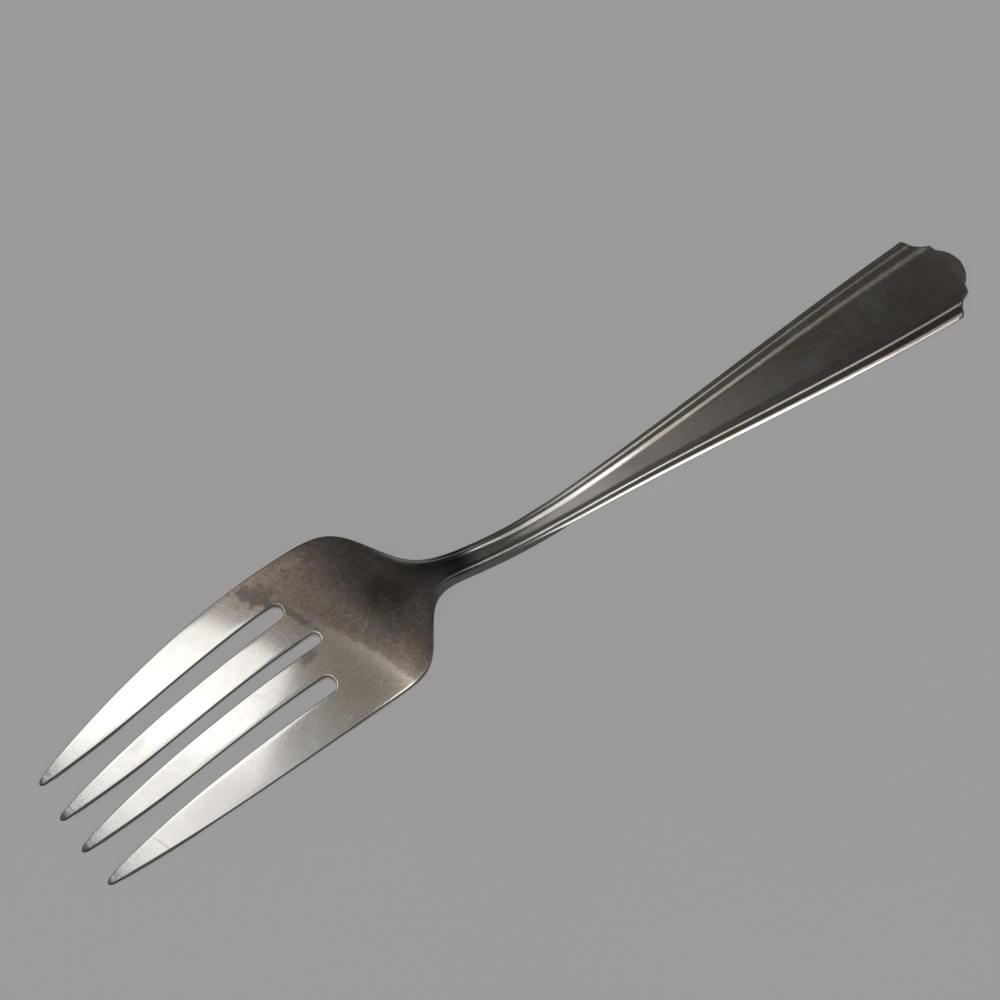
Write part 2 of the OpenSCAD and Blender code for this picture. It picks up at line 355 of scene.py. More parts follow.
    @cached_property
    def crown_stops(self) -> list[Stop]:
        """Crown of the back."""
        return [
            (0, 0, 0),
            (self.outer_slot_length, self.palm_crown, 0),
            (self.shoulder_at, self.palm_crown, 0),
            (self.neck_at, self.neck_crown, 0),
            (self.handle_start, 0, 0),
        ]

    @cached_property
    def panel_depth_stops(self) -> list[Stop]:
        """Depth of the panel below the bead."""
        flat_at = (self.neck_at + self.corner_at) / 2
        return [(self.grip_at, self.panel_depth_neck, 0), (flat_at, self.panel_depth, 0)]

    @cached_property
    def edge_round_stops(self) -> list[Stop]:
        """Radius of the rounded edge between a face and the side."""
        return [
            (0, self.tip_edge_round, 0),
            (self.tip_thin_length, self.tine_edge_round, 0),
            (self.shoulder_at, self.tine_edge_round, 0),
            (self.neck_at, self.neck_edge_round, 0),
            (self.handle_start, self.handle_edge_round, 0),
        ]

    def handle_half(self, place: float) -> float:
        """Half width of the handle, its sides carried on past the square shoulders.

        Args:
            place: Distance from the tips.

        Returns:
            The half width.
        """
        if place > self.corner_at:
            return self.handle_width / 2 + self.handle_flare * (place - self.corner_at)
        neck = (self.neck_at, self.neck_width / 2, 0)
        return along([neck, (self.corner_at, self.handle_width / 2, self.handle_flare)], place)

    def side_half(self, place: float) -> float:
        """Half width of the fork without the shaped handle end.

        Args:
            place: Distance from the tips.

        Returns:
            The half width.
        """
        short = max(0.0, 1 - place / self.head_widest_at)
        tip_half = (self.outer_tip_spacing + self.tip_width) / 2
        head = self.head_width / 2 - (self.head_width / 2 - tip_half) * short * short
        share = 1 / (1 + math.exp((place - self.shoulder_at) / self.shoulder_softness))
        return mix(self.handle_half(place), head, share)

    def scoop_half(self, place: float) -> float:
        """Half width along the hollow arc from a square shoulder to a cusp.

        Args:
            place: Distance from the tips.

        Returns:
            The half width.
        """
        run = self.cusp_at - self.corner_at
        fall = (self.handle_width - self.cusp_width) / 2
        chord = math.hypot(run, fall)
        offset = math.sqrt(self.scoop_radius**2 - chord * chord / 4) / chord
        centre_x = (self.corner_at + self.cusp_at) / 2 + fall * offset
        centre_y = (self.handle_width + self.cusp_width) / 4 + run * offset
        return centre_y - math.sqrt(self.scoop_radius**2 - (place - centre_x) ** 2)

    @cached_property
    def lobe_radius(self) -> float:
        """Radius of the round lobe, through its notches and the handle end."""
        return (self.notch_width**2 / 4 + self.notch_back**2) / (2 * self.notch_back)

    def lobe_half(self, place: float) -> float:
        """Half width of the round lobe at the handle end."""
        reach = place - self.length + self.lobe_radius
        return max(self.lobe_blunt, math.sqrt(max(0.0, self.lobe_radius**2 - reach * reach)))

    def outline_half(self, place: float) -> float:
        """Half width of the whole outline.

        Args:
            place: Distance from the tips.

        Returns:
            The half width.
        """
        before, after = self.corner_at - self.corner_round, self.corner_at + self.corner_round
        if place <= before:
            return self.side_half(place)
        if place < after:
            share = (place - before) / (after - before)
            to_corner = mix(self.side_half(before), self.side_half(self.corner_at), share)
            from_corner = mix(self.side_half(self.corner_at), self.scoop_half(after), share)
            return mix(to_corner, from_corner, share)
        if place <= self.cusp_at:
            return self.scoop_half(place)
        if place <= self.notch_at:
            share = (place - self.cusp_at) / (self.notch_at - self.cusp_at)
            return mix(self.cusp_width, self.notch_width, share) / 2
        return self.lobe_half(place)

    def slot_middle(self, place: float) -> float:
        """Distance of an outer slot's middle from the middle of the fork.

        Args:
            place: Distance from the tips.

        Returns:
            The distance.
        """
        if place >= self.outer_slot_length:
            full = self.outline_half(self.outer_slot_length)
            return self.slot_spacing_root / 2 * self.outline_half(place) / full
        at_tips = (self.outer_tip_spacing + self.inner_tip_spacing) / 2
        return mix(at_tips, self.slot_spacing_root, place / self.outer_slot_length) / 2

    def border_at(self, place: float) -> float:
        """Width of the threaded border.

        Args:
            place: Distance from the tips.

        Returns:
            The width.
        """
        share = max(0.0, (place - self.neck_at) / (self.corner_at - self.neck_at))
        wide = mix(self.border_width_neck, self.border_width, share)
        return min(self.border_limit * self.side_half(place), wide)

    def border_share(self, place: float) -> float:
        """Share of the border's height, as it rises out of the shoulder."""
        start = self.shoulder_at + self.shoulder_softness
        return ease(place, start, self.neck_at - self.shoulder_softness)

    def tip_share(self, place: float) -> float:
        """Share of a tine's width that is left by the rounding of its tip."""
        short = max(0.0, 1 - place / self.tip_round)
        return max(self.tip_blunt_share, math.sqrt(1 - short * short))


@dataclass(frozen=True)
class Station:
    """What the fork measures at one place, with its surface set back into the metal.

    Attributes:
        shape: The fork's sizes.
        place: Distance from the tips.
        set_back: How far the surface is set back.
    """

    shape: ForkShape
    place: float
    set_back: float

    @cached_property
    def side(self) -> float:
        """Half width without the shaped handle end."""
        return self.shape.side_half(self.place)

    @cached_property
    def half(self) -> float:
        """Half width of the outline."""
        return self.shape.outline_half(self.place) - self.set_back

    @cached_property
    def border(self) -> float:
        """Width of the threaded border."""
        return self.shape.border_at(self.place)

    @cached_property
    def border_share(self) -> float:
        """Share of the border's height."""
        return self.shape.border_share(self.place)

    @cached_property
    def panel_depth(self) -> float:
        """Depth of the panel below the bead."""
        return self.border_share * along(self.shape.panel_depth_stops, self.place)

    @cached_property
    def groove_depth(self) -> float:
        """Depth of the groove between bead and thread."""
        return self.border_share * self.shape.groove_depth

    @cached_property
    def middle(self) -> float:
        """Distance of an outer slot's middle from the middle of the fork."""
        return self.shape.slot_middle(self.place)

    @cached_property
    def height(self) -> float:
        """Height under the edge."""
        return along(self.shape.profile_stops, self.place)

    @cached_property
    def edge_t(self) -> float:
        """Thickness at the edge."""
        return along(self.shape.edge_t_stops, self.place)

    @cached_property
    def crown(self) -> float:
        """Crown of the back."""
        return along(self.shape.crown_stops, self.place)

    @cached_property
    def bulge(self) -> float:
        """Bulge of the front below its edge."""
        middle_t = along(self.shape.middle_t_stops, self.place)
        return middle_t - self.edge_t - self.crown + 2 * self.panel_depth

    @cached_property
    def edge_round(self) -> float:
        """Radius of the rounded edges, within half the thickness."""
        return min(along(self.shape.edge_round_stops, self.place), self.edge_t / 2 - self.set_back)

    @cached_property
    def edge_roll(self) -> float:
        """Distance across which an edge is rounded: as far as the bead's crest on the handle."""
        return mix(self.edge_round, self.shape.bead_place * self.border, self.border_share)

    @cached_property
    def tines(self) -> tuple[tuple[float, float], tuple[float, float]]:
        """Inner and outer edge of the inner tine and of the outer tine."""
        gap = self.shape.outer_slot.half(self.place, self.set_back)
        inner = self.shape.mid_slot.half(self.place, self.set_back)
        share = self.shape.tip_share(self.place)
        return (
            self.narrowed(inner, self.middle - gap, share),
            self.narrowed(self.middle + gap, self.half, share),
        )

    @staticmethod
    def narrowed(low: float, high: float, share: float) -> tuple[float, float]:
        """Draw two edges in towards their middle.

        Args:
            low: The lower edge.
            high: The higher edge.
            share: Share of the width that is left.

        Returns:
            The two edges.
        """
        middle = (low + high) / 2
        reach = (high - low) / 2 * share
        return middle - reach, middle + reach


@dataclass
class ForkSkin:
    """Closed skin of the fork at one depth in the metal, made from a flat grid.

    Attributes:
        shape: The fork's sizes.
        set_back: How far the skin is set back into the metal.
        first: Place of the first row, where the skin is open, or 0 for a skin with closed tips.
        tine_cells: Cells across one tine.
        edge_cells: Cells across one rounded edge.
        edge_limit: Greatest share of a tine's width that the cells of one edge take.
        panel_cells: Cells across half the handle's panel.
        run_cells: Cells across each slope between bead, groove and thread.
        lobe_cells: Rows along the round lobe.
        tip_step: Distance of the rows at the tips.
        tine_step: Distance of the rows along the tines.
        slot_end_cells: Rows along a slot's round end, and past it.
        slot_end_reach: Distance beside a slot's end, and half of it past the end, with narrow cells.
        palm_step: Distance of the rows along the palm.
        handle_step: Distance of the rows along the handle.
        terminal_step: Distance of the rows at the handle end.
        end_gap: Least distance of the last two rows.
        slope_step: Distance over which a slope is measured.
        wall_fade: Distance from an edge over which the mask of the side walls fades out.
        slot_end_share: Share of that mask that is left round the slots' ends.
        low_wall_share: Share of that mask that is left low on the walls past the tips.
        masked_past_neck: Distance past the neck as far as the walls are masked in full.
        clear_past_grip: Distance past the start of the grip from which the handle's sides are clear.
        stations: The rows' measures.
    """

    shape: ForkShape
    set_back: float
    first: float = 0.0
    tine_cells: int = 18
    edge_cells: int = 5
    edge_limit: float = 0.45
    panel_cells: int = 10
    run_cells: int = 4
    lobe_cells: int = 18
    tip_step: float = 0.08
    tine_step: float = 0.8
    slot_end_cells: int = 8
    slot_end_reach: float = 0.75
    palm_step: float = 0.6
    handle_step: float = 0.9
    terminal_step: float = 0.13
    end_gap: float = 0.03
    slope_step: float = 0.01
    wall_fade: float = 0.4
    slot_end_share: float = 0.9
    low_wall_share: float = 0.62
    masked_past_neck: float = 6.0
    clear_past_grip: float = 8.0
    stations: list[Station] = field(default_factory=list)

    def row_places(self) -> list[float]:
        """Set out the rows along the fork.

        Returns:
            The places, in order.
        """
        shape = self.shape
        places = spread(0, shape.tip_round, self.tip_step)
        last = shape.tip_round
        for slot in sorted((shape.outer_slot, shape.mid_slot), key=lambda slot: slot.length):
            places += spread(last, slot.round_at, self.tine_step)
            places += self.slot_end_places(slot)
            last = slot.length + self.set_back + self.slot_end_reach / 2
        places += spread(last, shape.neck_at, self.palm_step)
        corner_start = shape.corner_at - shape.corner_round
        places += spread(shape.neck_at, corner_start, self.handle_step)
        places += spread(corner_start, shape.cusp_at, self.terminal_step)
        places += spread(shape.cusp_at, shape.notch_at, self.terminal_step)
        notch_turn = math.acos(1 - shape.notch_back / shape.lobe_radius)
        for k in range(self.lobe_cells + 1):
            turn = notch_turn * (1 - k / self.lobe_cells)
            places.append(shape.length - shape.lobe_radius * (1 - math.cos(turn)))
        start, end = self.first + self.tip_step / 2, shape.length - self.set_back
        kept = [place for place in sorted(places) if start < place < end - self.end_gap]
        return [self.first, *kept, end]

    def slot_end_places(self, slot: Slot) -> list[float]:
        """Set out the rows that follow a slot's round end and the rounded edge past it.

        Args:
            slot: The slot.

        Returns:
            The places of the rows.
        """
        radius, end = slot.width / 2 + self.set_back, slot.length + self.set_back
        turns = [k / self.slot_end_cells * math.pi / 2 for k in range(self.slot_end_cells + 1)]
        arc = [slot.round_at + radius * math.sin(turn) for turn in turns]
        past = [end + self.slot_end_reach / 2 * (1 - math.cos(turn)) for turn in turns[1:]]
        return arc + past

    def head_columns(self, station: Station) -> list[float]:
        """Set out the columns of both tines of one side.

        Args:
            station: The place along the fork.

        Returns:
            The sideways places of the columns.
        """
        columns = []
        slots_near = min(self.shape.outer_slot.round_at, self.shape.mid_slot.round_at)
        near_end = ease(station.place, slots_near - self.tine_step, slots_near)
        for low, high in station.tines:
            width = high - low
            reach = mix(station.edge_round, self.slot_end_reach, near_end)
            radius = min(reach, width * self.edge_limit)
            turns = [k / self.edge_cells * math.pi / 2 for k in range(self.edge_cells)]
            rounded = [radius * (1 - math.cos(turn)) for turn in turns]
            inside = self.tine_cells - 2 * self.edge_cells
            flat = [mix(radius, width - radius, k / inside) for k in range(inside + 1)]
            columns += [low + place for place in rounded + flat]
            columns += [high - place for place in reversed(rounded)]
        return columns

    def handle_columns(self, station: Station) -> list[float]:
        """Set out the columns of one side that follow the border.

        Args:
            station: The place along the fork.

        Returns:
            The sideways places of the columns.
        """
        shape, border, side = self.shape, station.border, station.side
        scale = station.half / side
        thread = shape.thread_place * border
        slope_cells = self.tine_cells - self.panel_cells
        panel = side - border
        inner = [mix(0, panel, k / self.panel_cells) for k in range(self.panel_cells)]
        inner += [mix(panel, side - thread, k / slope_cells) for k in range(slope_cells + 1)]
        bead, roll_cells = shape.bead_place * border, self.tine_cells - 2 * self.run_cells
        turns = [k / roll_cells * math.pi / 2 for k in range(roll_cells + 1)]
        marks = [thread, shape.groove_place * border, bead]
        outer = []
        for start, end in zip(marks, marks[1:]):
            outer += [side - mix(start, end, k / self.run_cells) for k in range(self.run_cells)]
        outer += [side - bead * (1 - math.cos(turn)) for turn in reversed(turns)]
        return [scale * place for place in inner + outer]

    def columns(self, station: Station) -> list[float]:
        """Set out one row's columns.

        Args:
            station: The place along the fork.

        Returns:
            The sideways places of the columns, from the middle to the edge.
        """
        share = ease(station.place, self.shape.slots_end + self.set_back, self.shape.neck_at)
        head = self.head_columns(station)
        handle = self.handle_columns(station)
        return [mix(h, g, share) for h, g in zip(head, handle)]

    def edge_distance(self, station: Station, off: float, tine: int) -> float:
        """Distance of a point from the nearest edge of the metal.

        Args:
            station: The place along the fork.
            off: The place sideways.
            tine: 0 on the inner tine or its line, 1 on the outer.

        Returns:
            The distance into the metal.
        """
        shape, place, back = self.shape, station.place, self.set_back
        outline = shape.side_half(place) - back - off
        slope = shape.side_half(place + self.slope_step) - shape.side_half(place - self.slope_step)
        slope /= 2 * self.slope_step
        distances = [
            outline / math.hypot(1, slope),
            shape.mid_slot.distance(place, off, back),
            shape.outer_slot.distance(place, abs(off - station.middle), back),
        ]
        if place < shape.tip_round:
            low, high = station.tines[tine]
            after = Station(shape, place + self.slope_step, back).tines[tine]
            steepness = math.hypot(1, (after[1] - high) / self.slope_step)
            distances += [(off - low) / steepness, (high - off) / steepness]
        return max(0.0, min(distances))

    def end_distance(self, station: Station, off: float) -> float:
        """Distance of a point from the scoops, cusps and lobe of the handle end.

        Args:
            station: The place along the fork.
            off: The place sideways.

        Returns:
            The distance into the metal.
        """
        shape = self.shape
        end_start = shape.corner_at - shape.corner_round
        if station.place < end_start:
            return math.inf
        point = Vector((station.place, off))
        outline = [Vector((s.place, s.half)) for s in self.stations if s.place >= end_start]
        distances = []
        for start, end in zip(outline, outline[1:]):
            share = intersect_point_line(point, start, end)[1]
            nearest = start.lerp(end, min(1.0, max(0.0, share)))
            distances.append((point - nearest).length)
        return min(distances)

    def edge_drop(self, station: Station, off: float, tine: int) -> float:
        """Fall of a face towards a rounded edge.

        Args:
            station: The place along the fork.
            off: The place sideways.
            tine: 0 on the inner tine or its line, 1 on the outer.

        Returns:
            The fall, up to the edge's whole rounding.
        """
        cut = self.shape.end_edge_round
        short = max(0.0, 1 - self.edge_distance(station, off, tine) / station.edge_roll)
        short_end = max(0.0, 1 - self.end_distance(station, off) / cut)
        side = station.edge_round * (1 - math.sqrt(1 - short * short))
        return max(side, cut * (1 - math.sqrt(1 - short_end * short_end)))

    def wall_share(self, station: Station, off: float, tine: int, face: Face) -> float:
        """Mask of the narrow side walls, where the finishes paint shade, without the rolled sides of the
        handle.

        Args:
            station: The place along the fork.
            off: The place sideways.
            tine: 0 on the inner tine or its line, 1 on the outer.
            face: Which broad face is meant.

        Returns:
            1 on a wall, falling to 0 on a broad face.
        """
        shape = self.shape
        fade = max(self.wall_fade, station.edge_round)
        side = max(0.0, 1 - self.edge_distance(station, off, tine) / fade)
        end = max(0.0, 1 - self.end_distance(station, off) / self.wall_fade)
        slot_end = ease(station.place, shape.outer_slot.round_at, shape.outer_slot_length)
        if off < (shape.outer_slot_width + station.middle + station.side) / 2:
            side *= mix(1, self.slot_end_share, slot_end)
        if face is Face.FRONT:
            past_tips = ease(station.place, shape.tip_thin_length, shape.tine_taper)
            side *= mix(1, self.low_wall_share, past_tips)
        clear_at, masked_at = shape.grip_at + self.clear_past_grip, shape.neck_at + self.masked_past_neck
        return max(side * ease(station.place, clear_at, masked_at), end)

    def relief(self, station: Station, off: float) -> float:
        """Height of the groove, thread and panel against the bead.

        Args:
            station: The place along the fork.
            off: The place sideways.

        Returns:
            The height, 0 or below.
        """
        shape = self.shape
        inward = max(0.0, station.side - self.set_back - off) / station.border
        marks = [
            (0.0, 0.0),
            (shape.bead_place, 0.0),
            (shape.groove_place, -station.groove_depth),
            (shape.thread_place, 0.0),
            (1.0, -station.panel_depth),
        ]
        for (u0, h0), (u1, h1) in zip(marks, marks[1:]):
            if inward <= u1:
                return mix(h0, h1, ease(inward, u0, u1))
        return -station.panel_depth

    def height(self, station: Station, off: float, tine: int, face: Face) -> float:
        """Height of a face of the skin.

        Args:
            station: The place along the fork.
            off: The place sideways.
            tine: 0 on the inner tine or its line, 1 on the outer.
            face: Which broad face is meant.

        Returns:
            The height above the floor.
        """
        across = min(1.0, off / station.side)
        arch = 1 - across * across
        raised = self.relief(station, off) - self.edge_drop(station, off, tine) - self.set_back
        if face is Face.BACK:
            return station.height + station.edge_t + station.crown * arch + raised
        return station.height - station.bulge * arch - raised

    def add_to(self, bm: bmesh.types.BMesh) -> None:
        """Add the whole skin to a bmesh, in millimetres.

        Args:
            bm: The bmesh that takes the skin.
        """
        shape = self.shape
        self.stations = [Station(shape, place, self.set_back) for place in self.row_places()]
        rows = len(self.stations) - 1
        slot_column = self.tine_cells
        cells = 2 * self.tine_cells + 1
        bm.verts.layers.int.new(ROW_LAYER)
        bm.verts.layers.int.new(COLUMN_LAYER)
        bm.verts.layers.float.new(WALL_LAYER)
        row_of, column_of = bm.verts.layers.int[ROW_LAYER], bm.verts.layers.int[COLUMN_LAYER]
        wall_of = bm.verts.layers.float[WALL_LAYER]
        verts = bmesh.ops.create_grid(bm, x_segments=rows, y_segments=cells, size=1)["verts"]
        for vert in verts:
            vert[row_of] = round((vert.co.x + 1) / 2 * rows)
            vert[column_of] = round((vert.co.y + 1) / 2 * cells)
        faces = {face for vert in verts for face in vert.link_faces}
        beside_slot = {slot_column, slot_column + 1}
        slot_faces = [face for face in faces if {v[column_of] for v in face.verts} == beside_slot]
        bmesh.ops.delete(bm, geom=slot_faces, context="FACES")
        sheet = [face for face in faces if face.is_valid]
        raised = bmesh.ops.extrude_face_region(bm, geom=sheet)["geom"]
        back_verts = [item for item in raised if isinstance(item, bmesh.types.BMVert)]
        bmesh.ops.translate(bm, verts=back_verts, vec=(0, 0, 1))
        front_verts = [vert for vert in verts if vert.is_valid]
        self.open_joined_walls(bm, front_verts + back_verts)
        columns = [self.columns(station) for station in self.stations]
        for group, face in ((front_verts, Face.FRONT), (back_verts, Face.BACK)):
            for vert in group:
                row, column = vert[row_of], vert[column_of]
                tine = int(column > slot_column)
                vert.co = self.point(self.stations[row], columns[row][column], tine, face)
                vert[wall_of] = self.wall_share(self.stations[row], columns[row][column], tine, face)
        half = front_verts + back_verts
        bmesh.ops.remove_doubles(bm, verts=half, dist=MERGE_DISTANCE)
        half = [vert for vert in half if vert.is_valid]
        half_faces = list({face for vert in half for face in vert.link_faces})
        half_edges = list({edge for vert in half for edge in vert.link_edges})
        bmesh.ops.mirror(bm, geom=half + half_edges + half_faces, axis="Y", merge_dist=MERGE_DISTANCE)

    def open_joined_walls(self, bm: bmesh.types.BMesh, verts: list[bmesh.types.BMVert]) -> None:
        """Delete the walls that lie inside the metal past the slots' ends, and those of an open first row.

        Args:
            bm: The bmesh that holds the skin's flat start.
            verts: The skin's own vertices.
        """
        row_of, column_of = bm.verts.layers.int[ROW_LAYER], bm.verts.layers.int[COLUMN_LAYER]
        shape, slot_column = self.shape, self.tine_cells
        closed = {
            0: shape.mid_slot.length + self.set_back,
            slot_column: shape.outer_slot.length + self.set_back,
            slot_column + 1: shape.outer_slot.length + self.set_back,
        }
        joined = []
        for face in {face for vert in verts for face in vert.link_faces}:
            columns = {vert[column_of] for vert in face.verts}
            rows = {vert[row_of] for vert in face.verts}
            if rows == {0} and self.first > 0:
                joined.append(face)
            if len(columns) > 1 or len(rows) < 2:
                continue
            end = closed.get(columns.pop())
            if end is not None and self.stations[min(rows)].place > end - PLACE_SLACK:
                joined.append(face)
        bmesh.ops.delete(bm, geom=joined, context="FACES")

    def point(self, station: Station, off: float, tine: int, face: Face) -> Vector:
        """Find one point of the skin.

        Args:
            station: The place along the fork.
            off: The place sideways.
            tine: 0 on the inner tine or its line, 1 on the outer.
            face: Which broad face is meant.

        Returns:
            The point, in millimetres from the tips.
        """
        shape = self.shape
        short = max(0.0, 1 - station.place / shape.tine_taper)
        back = shape.outer_tip_back * short * short * tine
        return Vector((station.place + back, off, self.height(station, off, tine, face)))


class NodeDesk:
    """A short way to lay out and join the nodes of one node tree."""

    def __init__(self, tree: bpy.types.NodeTree) -> None:
        """Take over a node tree.

        Args:
            tree: The tree that gets the nodes.
        """
        self.tree = tree

    def add(self, kind: str, settings: dict[str, Setting] | None = None, **inputs: Source) -> bpy.types.Node:
        """Add a node.

        Args:
            kind: Blender's name of the node's type.
            settings: Values of the node's own properties.
            **inputs: Value or joined output of each input socket, with _ for a space in its name.

        Returns:
            The new node.
        """
        node = self.tree.nodes.new(kind)
        for name, value in (settings or {}).items():
            setattr(node, name, value)
        for name, source in inputs.items():
            self.feed(node.inputs[name.replace("_", " ")], source)
        return node

    def feed(self, socket: Socket, source: Source) -> None:
        """Join an output to a socket, or set the socket's own value.

        Args:
            socket: The socket.
            source: The value or joined output.
        """
        if isinstance(source, Socket):
            self.tree.links.new(source, socket)
        else:
            socket.default_value = source

    def math(self, operation: str, *values: Source) -> Socket:
        """Add a Math node.

        Args:
            operation: Blender's name of the operation.
            *values: Its values or joined outputs, in order.

        Returns:
            The result's socket.
        """
        node = self.add("ShaderNodeMath", {"operation": operation})
        for socket, value in zip(node.inputs, values):
            self.feed(socket, value)
        return node.outputs[0]

    def times(self, *values: Source) -> Socket:
        """Multiply values.

        Args:
            *values: The values or joined outputs, two or more.

        Returns:
            The product's socket.
        """
        product = values[0]
        for value in values[1:]:
            product = self.math("MULTIPLY", product, value)
        return product

    def total(self, shares: Shares, *masks: Source) -> Socket:
        """Add up masks by their shares.

        Args:
            shares: The share that is there everywhere, and then each mask's own.
            *masks: The masks, in order.

        Returns:
            The total's socket.
        """
        total: Source = shares[0]
        for mask, share in zip(masks, shares[1:]):
            total = self.math("MULTIPLY_ADD", mask, share, total)
        return total

    def parts(self, position: Source) -> list[Socket]:
        """Return the X, Y and Z of a position."""
        return list(self.add("ShaderNodeSeparateXYZ", Vector=position).outputs)

    def vector(self, operation: str, *values: Source) -> Socket:
        """Add a Vector Math node.

        Args:
            operation: Blender's name of the operation.
            *values: Its vectors or joined outputs, in order.

        Returns:
            The result's socket, a value for a length, a distance or a dot product.
        """
        node = self.add("ShaderNodeVectorMath", {"operation": operation})
        for socket, value in zip(node.inputs, values):
            self.feed(socket, value)
        return node.outputs["Value" if operation in ("LENGTH", "DOT_PRODUCT", "DISTANCE") else "Vector"]

    def step(self, value: Source, start: Source, end: Source) -> Socket:
        """Step smoothly from 0 to 1.

        Args:
            value: The value that is stepped.
            start: Where the step leaves 0.
            end: Where the step reaches 1; it falls instead of rising where end is below start.

        Returns:
            The step's socket.
        """
        span = self.math("SUBTRACT", end, start)
        share = self.math("DIVIDE", self.math("SUBTRACT", value, start), span)
        node = self.add("ShaderNodeMapRange", {"interpolation_type": "SMOOTHSTEP"}, Value=share)
        return node.outputs["Result"]

    def band(self, value: Source, rise: Span, fall: Span) -> Socket:
        """Mask the values between a rising and a falling step."""
        return self.times(self.step(value, *rise), self.step(value, *fall))

    def turned_back(self, position: Source, turn: Source) -> Socket:
        """Turn a position back about the vertical.

        Args:
            position: The position.
            turn: The turn that is taken back, in radians.

        Returns:
            The turned position's socket.
        """
        back = self.math("MULTIPLY", turn, -1.0)
        node = self.add("ShaderNodeVectorRotate", {"rotation_type": "Z_AXIS"}, Vector=position, Angle=back)
        return node.outputs[0]

    def noise(self, position: Source, size: Source, detail: float) -> Socket:
        """Add a noise.

        Args:
            position: Where the noise is read.
            size: Size of its patches.
            detail: How much finer detail it has.

        Returns:
            The noise's socket.
        """
        scale = self.math("DIVIDE", 1.0, size)
        node = self.add("ShaderNodeTexNoise", Vector=position, Scale=scale, Detail=detail)
        return node.outputs["Fac"]

    def blend(self, share: Source, low: Source, high: Source) -> Socket:
        """Mix two colours.

        Args:
            share: Share of the second colour.
            low: The first colour.
            high: The second colour.

        Returns:
            The mixed colour's socket.
        """
        node = self.add("ShaderNodeMix", {"data_type": "RGBA"})
        colours = [socket for socket in node.inputs if socket.type == "RGBA"]
        self.feed(node.inputs[0], share)
        for socket, colour in zip(colours, (low, high)):
            self.feed(socket, colour if isinstance(colour, Socket) else (*colour, 1.0))
        return next(socket for socket in node.outputs if socket.type == "RGBA")

    def ramp(self, value: Socket, stops: list[tuple[float, Colour]]) -> Socket:
        """Turn a value into a colour.

        Args:
            value: The value that picks the colour.
            stops: Place and colour of each stop, in order.

        Returns:
            The colour's socket.
        """
        node = self.add("ShaderNodeValToRGB", Fac=value)
        ramp = node.color_ramp
        ramp.interpolation = "EASE"
        while len(ramp.elements) < len(stops):
            ramp.elements.new(1.0)
        for element, (place, colour) in zip(ramp.elements, stops):
            element.position = place
            element.color = (*colour, 1.0)
        return node.outputs["Color"]


class SocketKind(Enum):
    """The kinds of input that an effect takes."""

    VALUE = "NodeSocketFloat"
    VECTOR = "NodeSocketVector"


class Effect(ABC):
    """A node group that is built once and placed in every finish that uses it.

    Attributes:
        name: Name of the group.
        inputs: Name and kind of each input.
    """

    name: str
    inputs: dict[str, SocketKind]

    @abstractmethod
    def mask(self, desk: NodeDesk, given: bpy.types.NodeOutputs) -> Socket:
        """Lay out the group's nodes.

        Args:
            desk: The desk of the group's tree.
            given: The group's inputs.

        Returns:
            The mask that the group puts out.
        """

    def tree(self) -> bpy.types.NodeTree:
        """Find the group's tree, or build it at its first use.

        Returns:
            The tree.
        """
        found = bpy.data.node_groups.get(self.name)
        if found:
            return found
        tree = bpy.data.node_groups.new(self.name, "ShaderNodeTree")
        for name, kind in self.inputs.items():
            tree.interface.new_socket(name, in_out="INPUT", socket_type=kind.value)
        tree.interface.new_socket("Mask", in_out="OUTPUT", socket_type=SocketKind.VALUE.value)
        desk = NodeDesk(tree)
        mask = self.mask(desk, desk.add("NodeGroupInput").outputs)
        desk.add("NodeGroupOutput", Mask=mask)
        return tree

    def place(self, desk: NodeDesk, **values: Source) -> Socket:
        """Place the group in a material.

        Args:
            desk: The desk of the material's tree.
            **values: Value or joined output of each input, with _ for a space in its name.

        Returns:
            The mask's socket.
        """
        node = desk.add("ShaderNodeGroup", {"node_tree": self.tree()}, **values)
        return node.outputs["Mask"]


class Patches(Effect):
    """Soft round patch with a ragged edge.

    Attributes:
        detail: Detail of the ragged edge.
        fade: Share of the reach over which the patch fades in.
    """

    name = "patches"
    detail = 3.0
    fade: Span = (1.15, 0.45)
    inputs = {
        "Position": SocketKind.VECTOR,
        "Centre": SocketKind.VECTOR,
        "Reach": SocketKind.VECTOR,
        "Turn": SocketKind.VALUE,
        "Ragged": SocketKind.VALUE,
        "Grain": SocketKind.VALUE,
    }

    def mask(self, desk: NodeDesk, given: bpy.types.NodeOutputs) -> Socket:
        """Lay out the patch: 1 in its middle, 0 past its reach.

        Args:
            desk: The desk of the group's tree.
            given: The group's inputs.

        Returns:
            The mask that the group puts out.
        """
        off = desk.vector("SUBTRACT", given["Position"], given["Centre"])
        flat = desk.vector("MULTIPLY", off, (1.0, 1.0, 0.0))
        turned = desk.turned_back(flat, given["Turn"])
        reach = desk.vector("LENGTH", desk.vector("DIVIDE", turned, given["Reach"]))
        noise = desk.noise(given["Position"], given["Grain"], self.detail)
        ragged = desk.times(desk.math("SUBTRACT", noise, NOISE_MIDDLE), given["Ragged"])
        return desk.step(desk.math("ADD", reach, ragged), *self.fade)


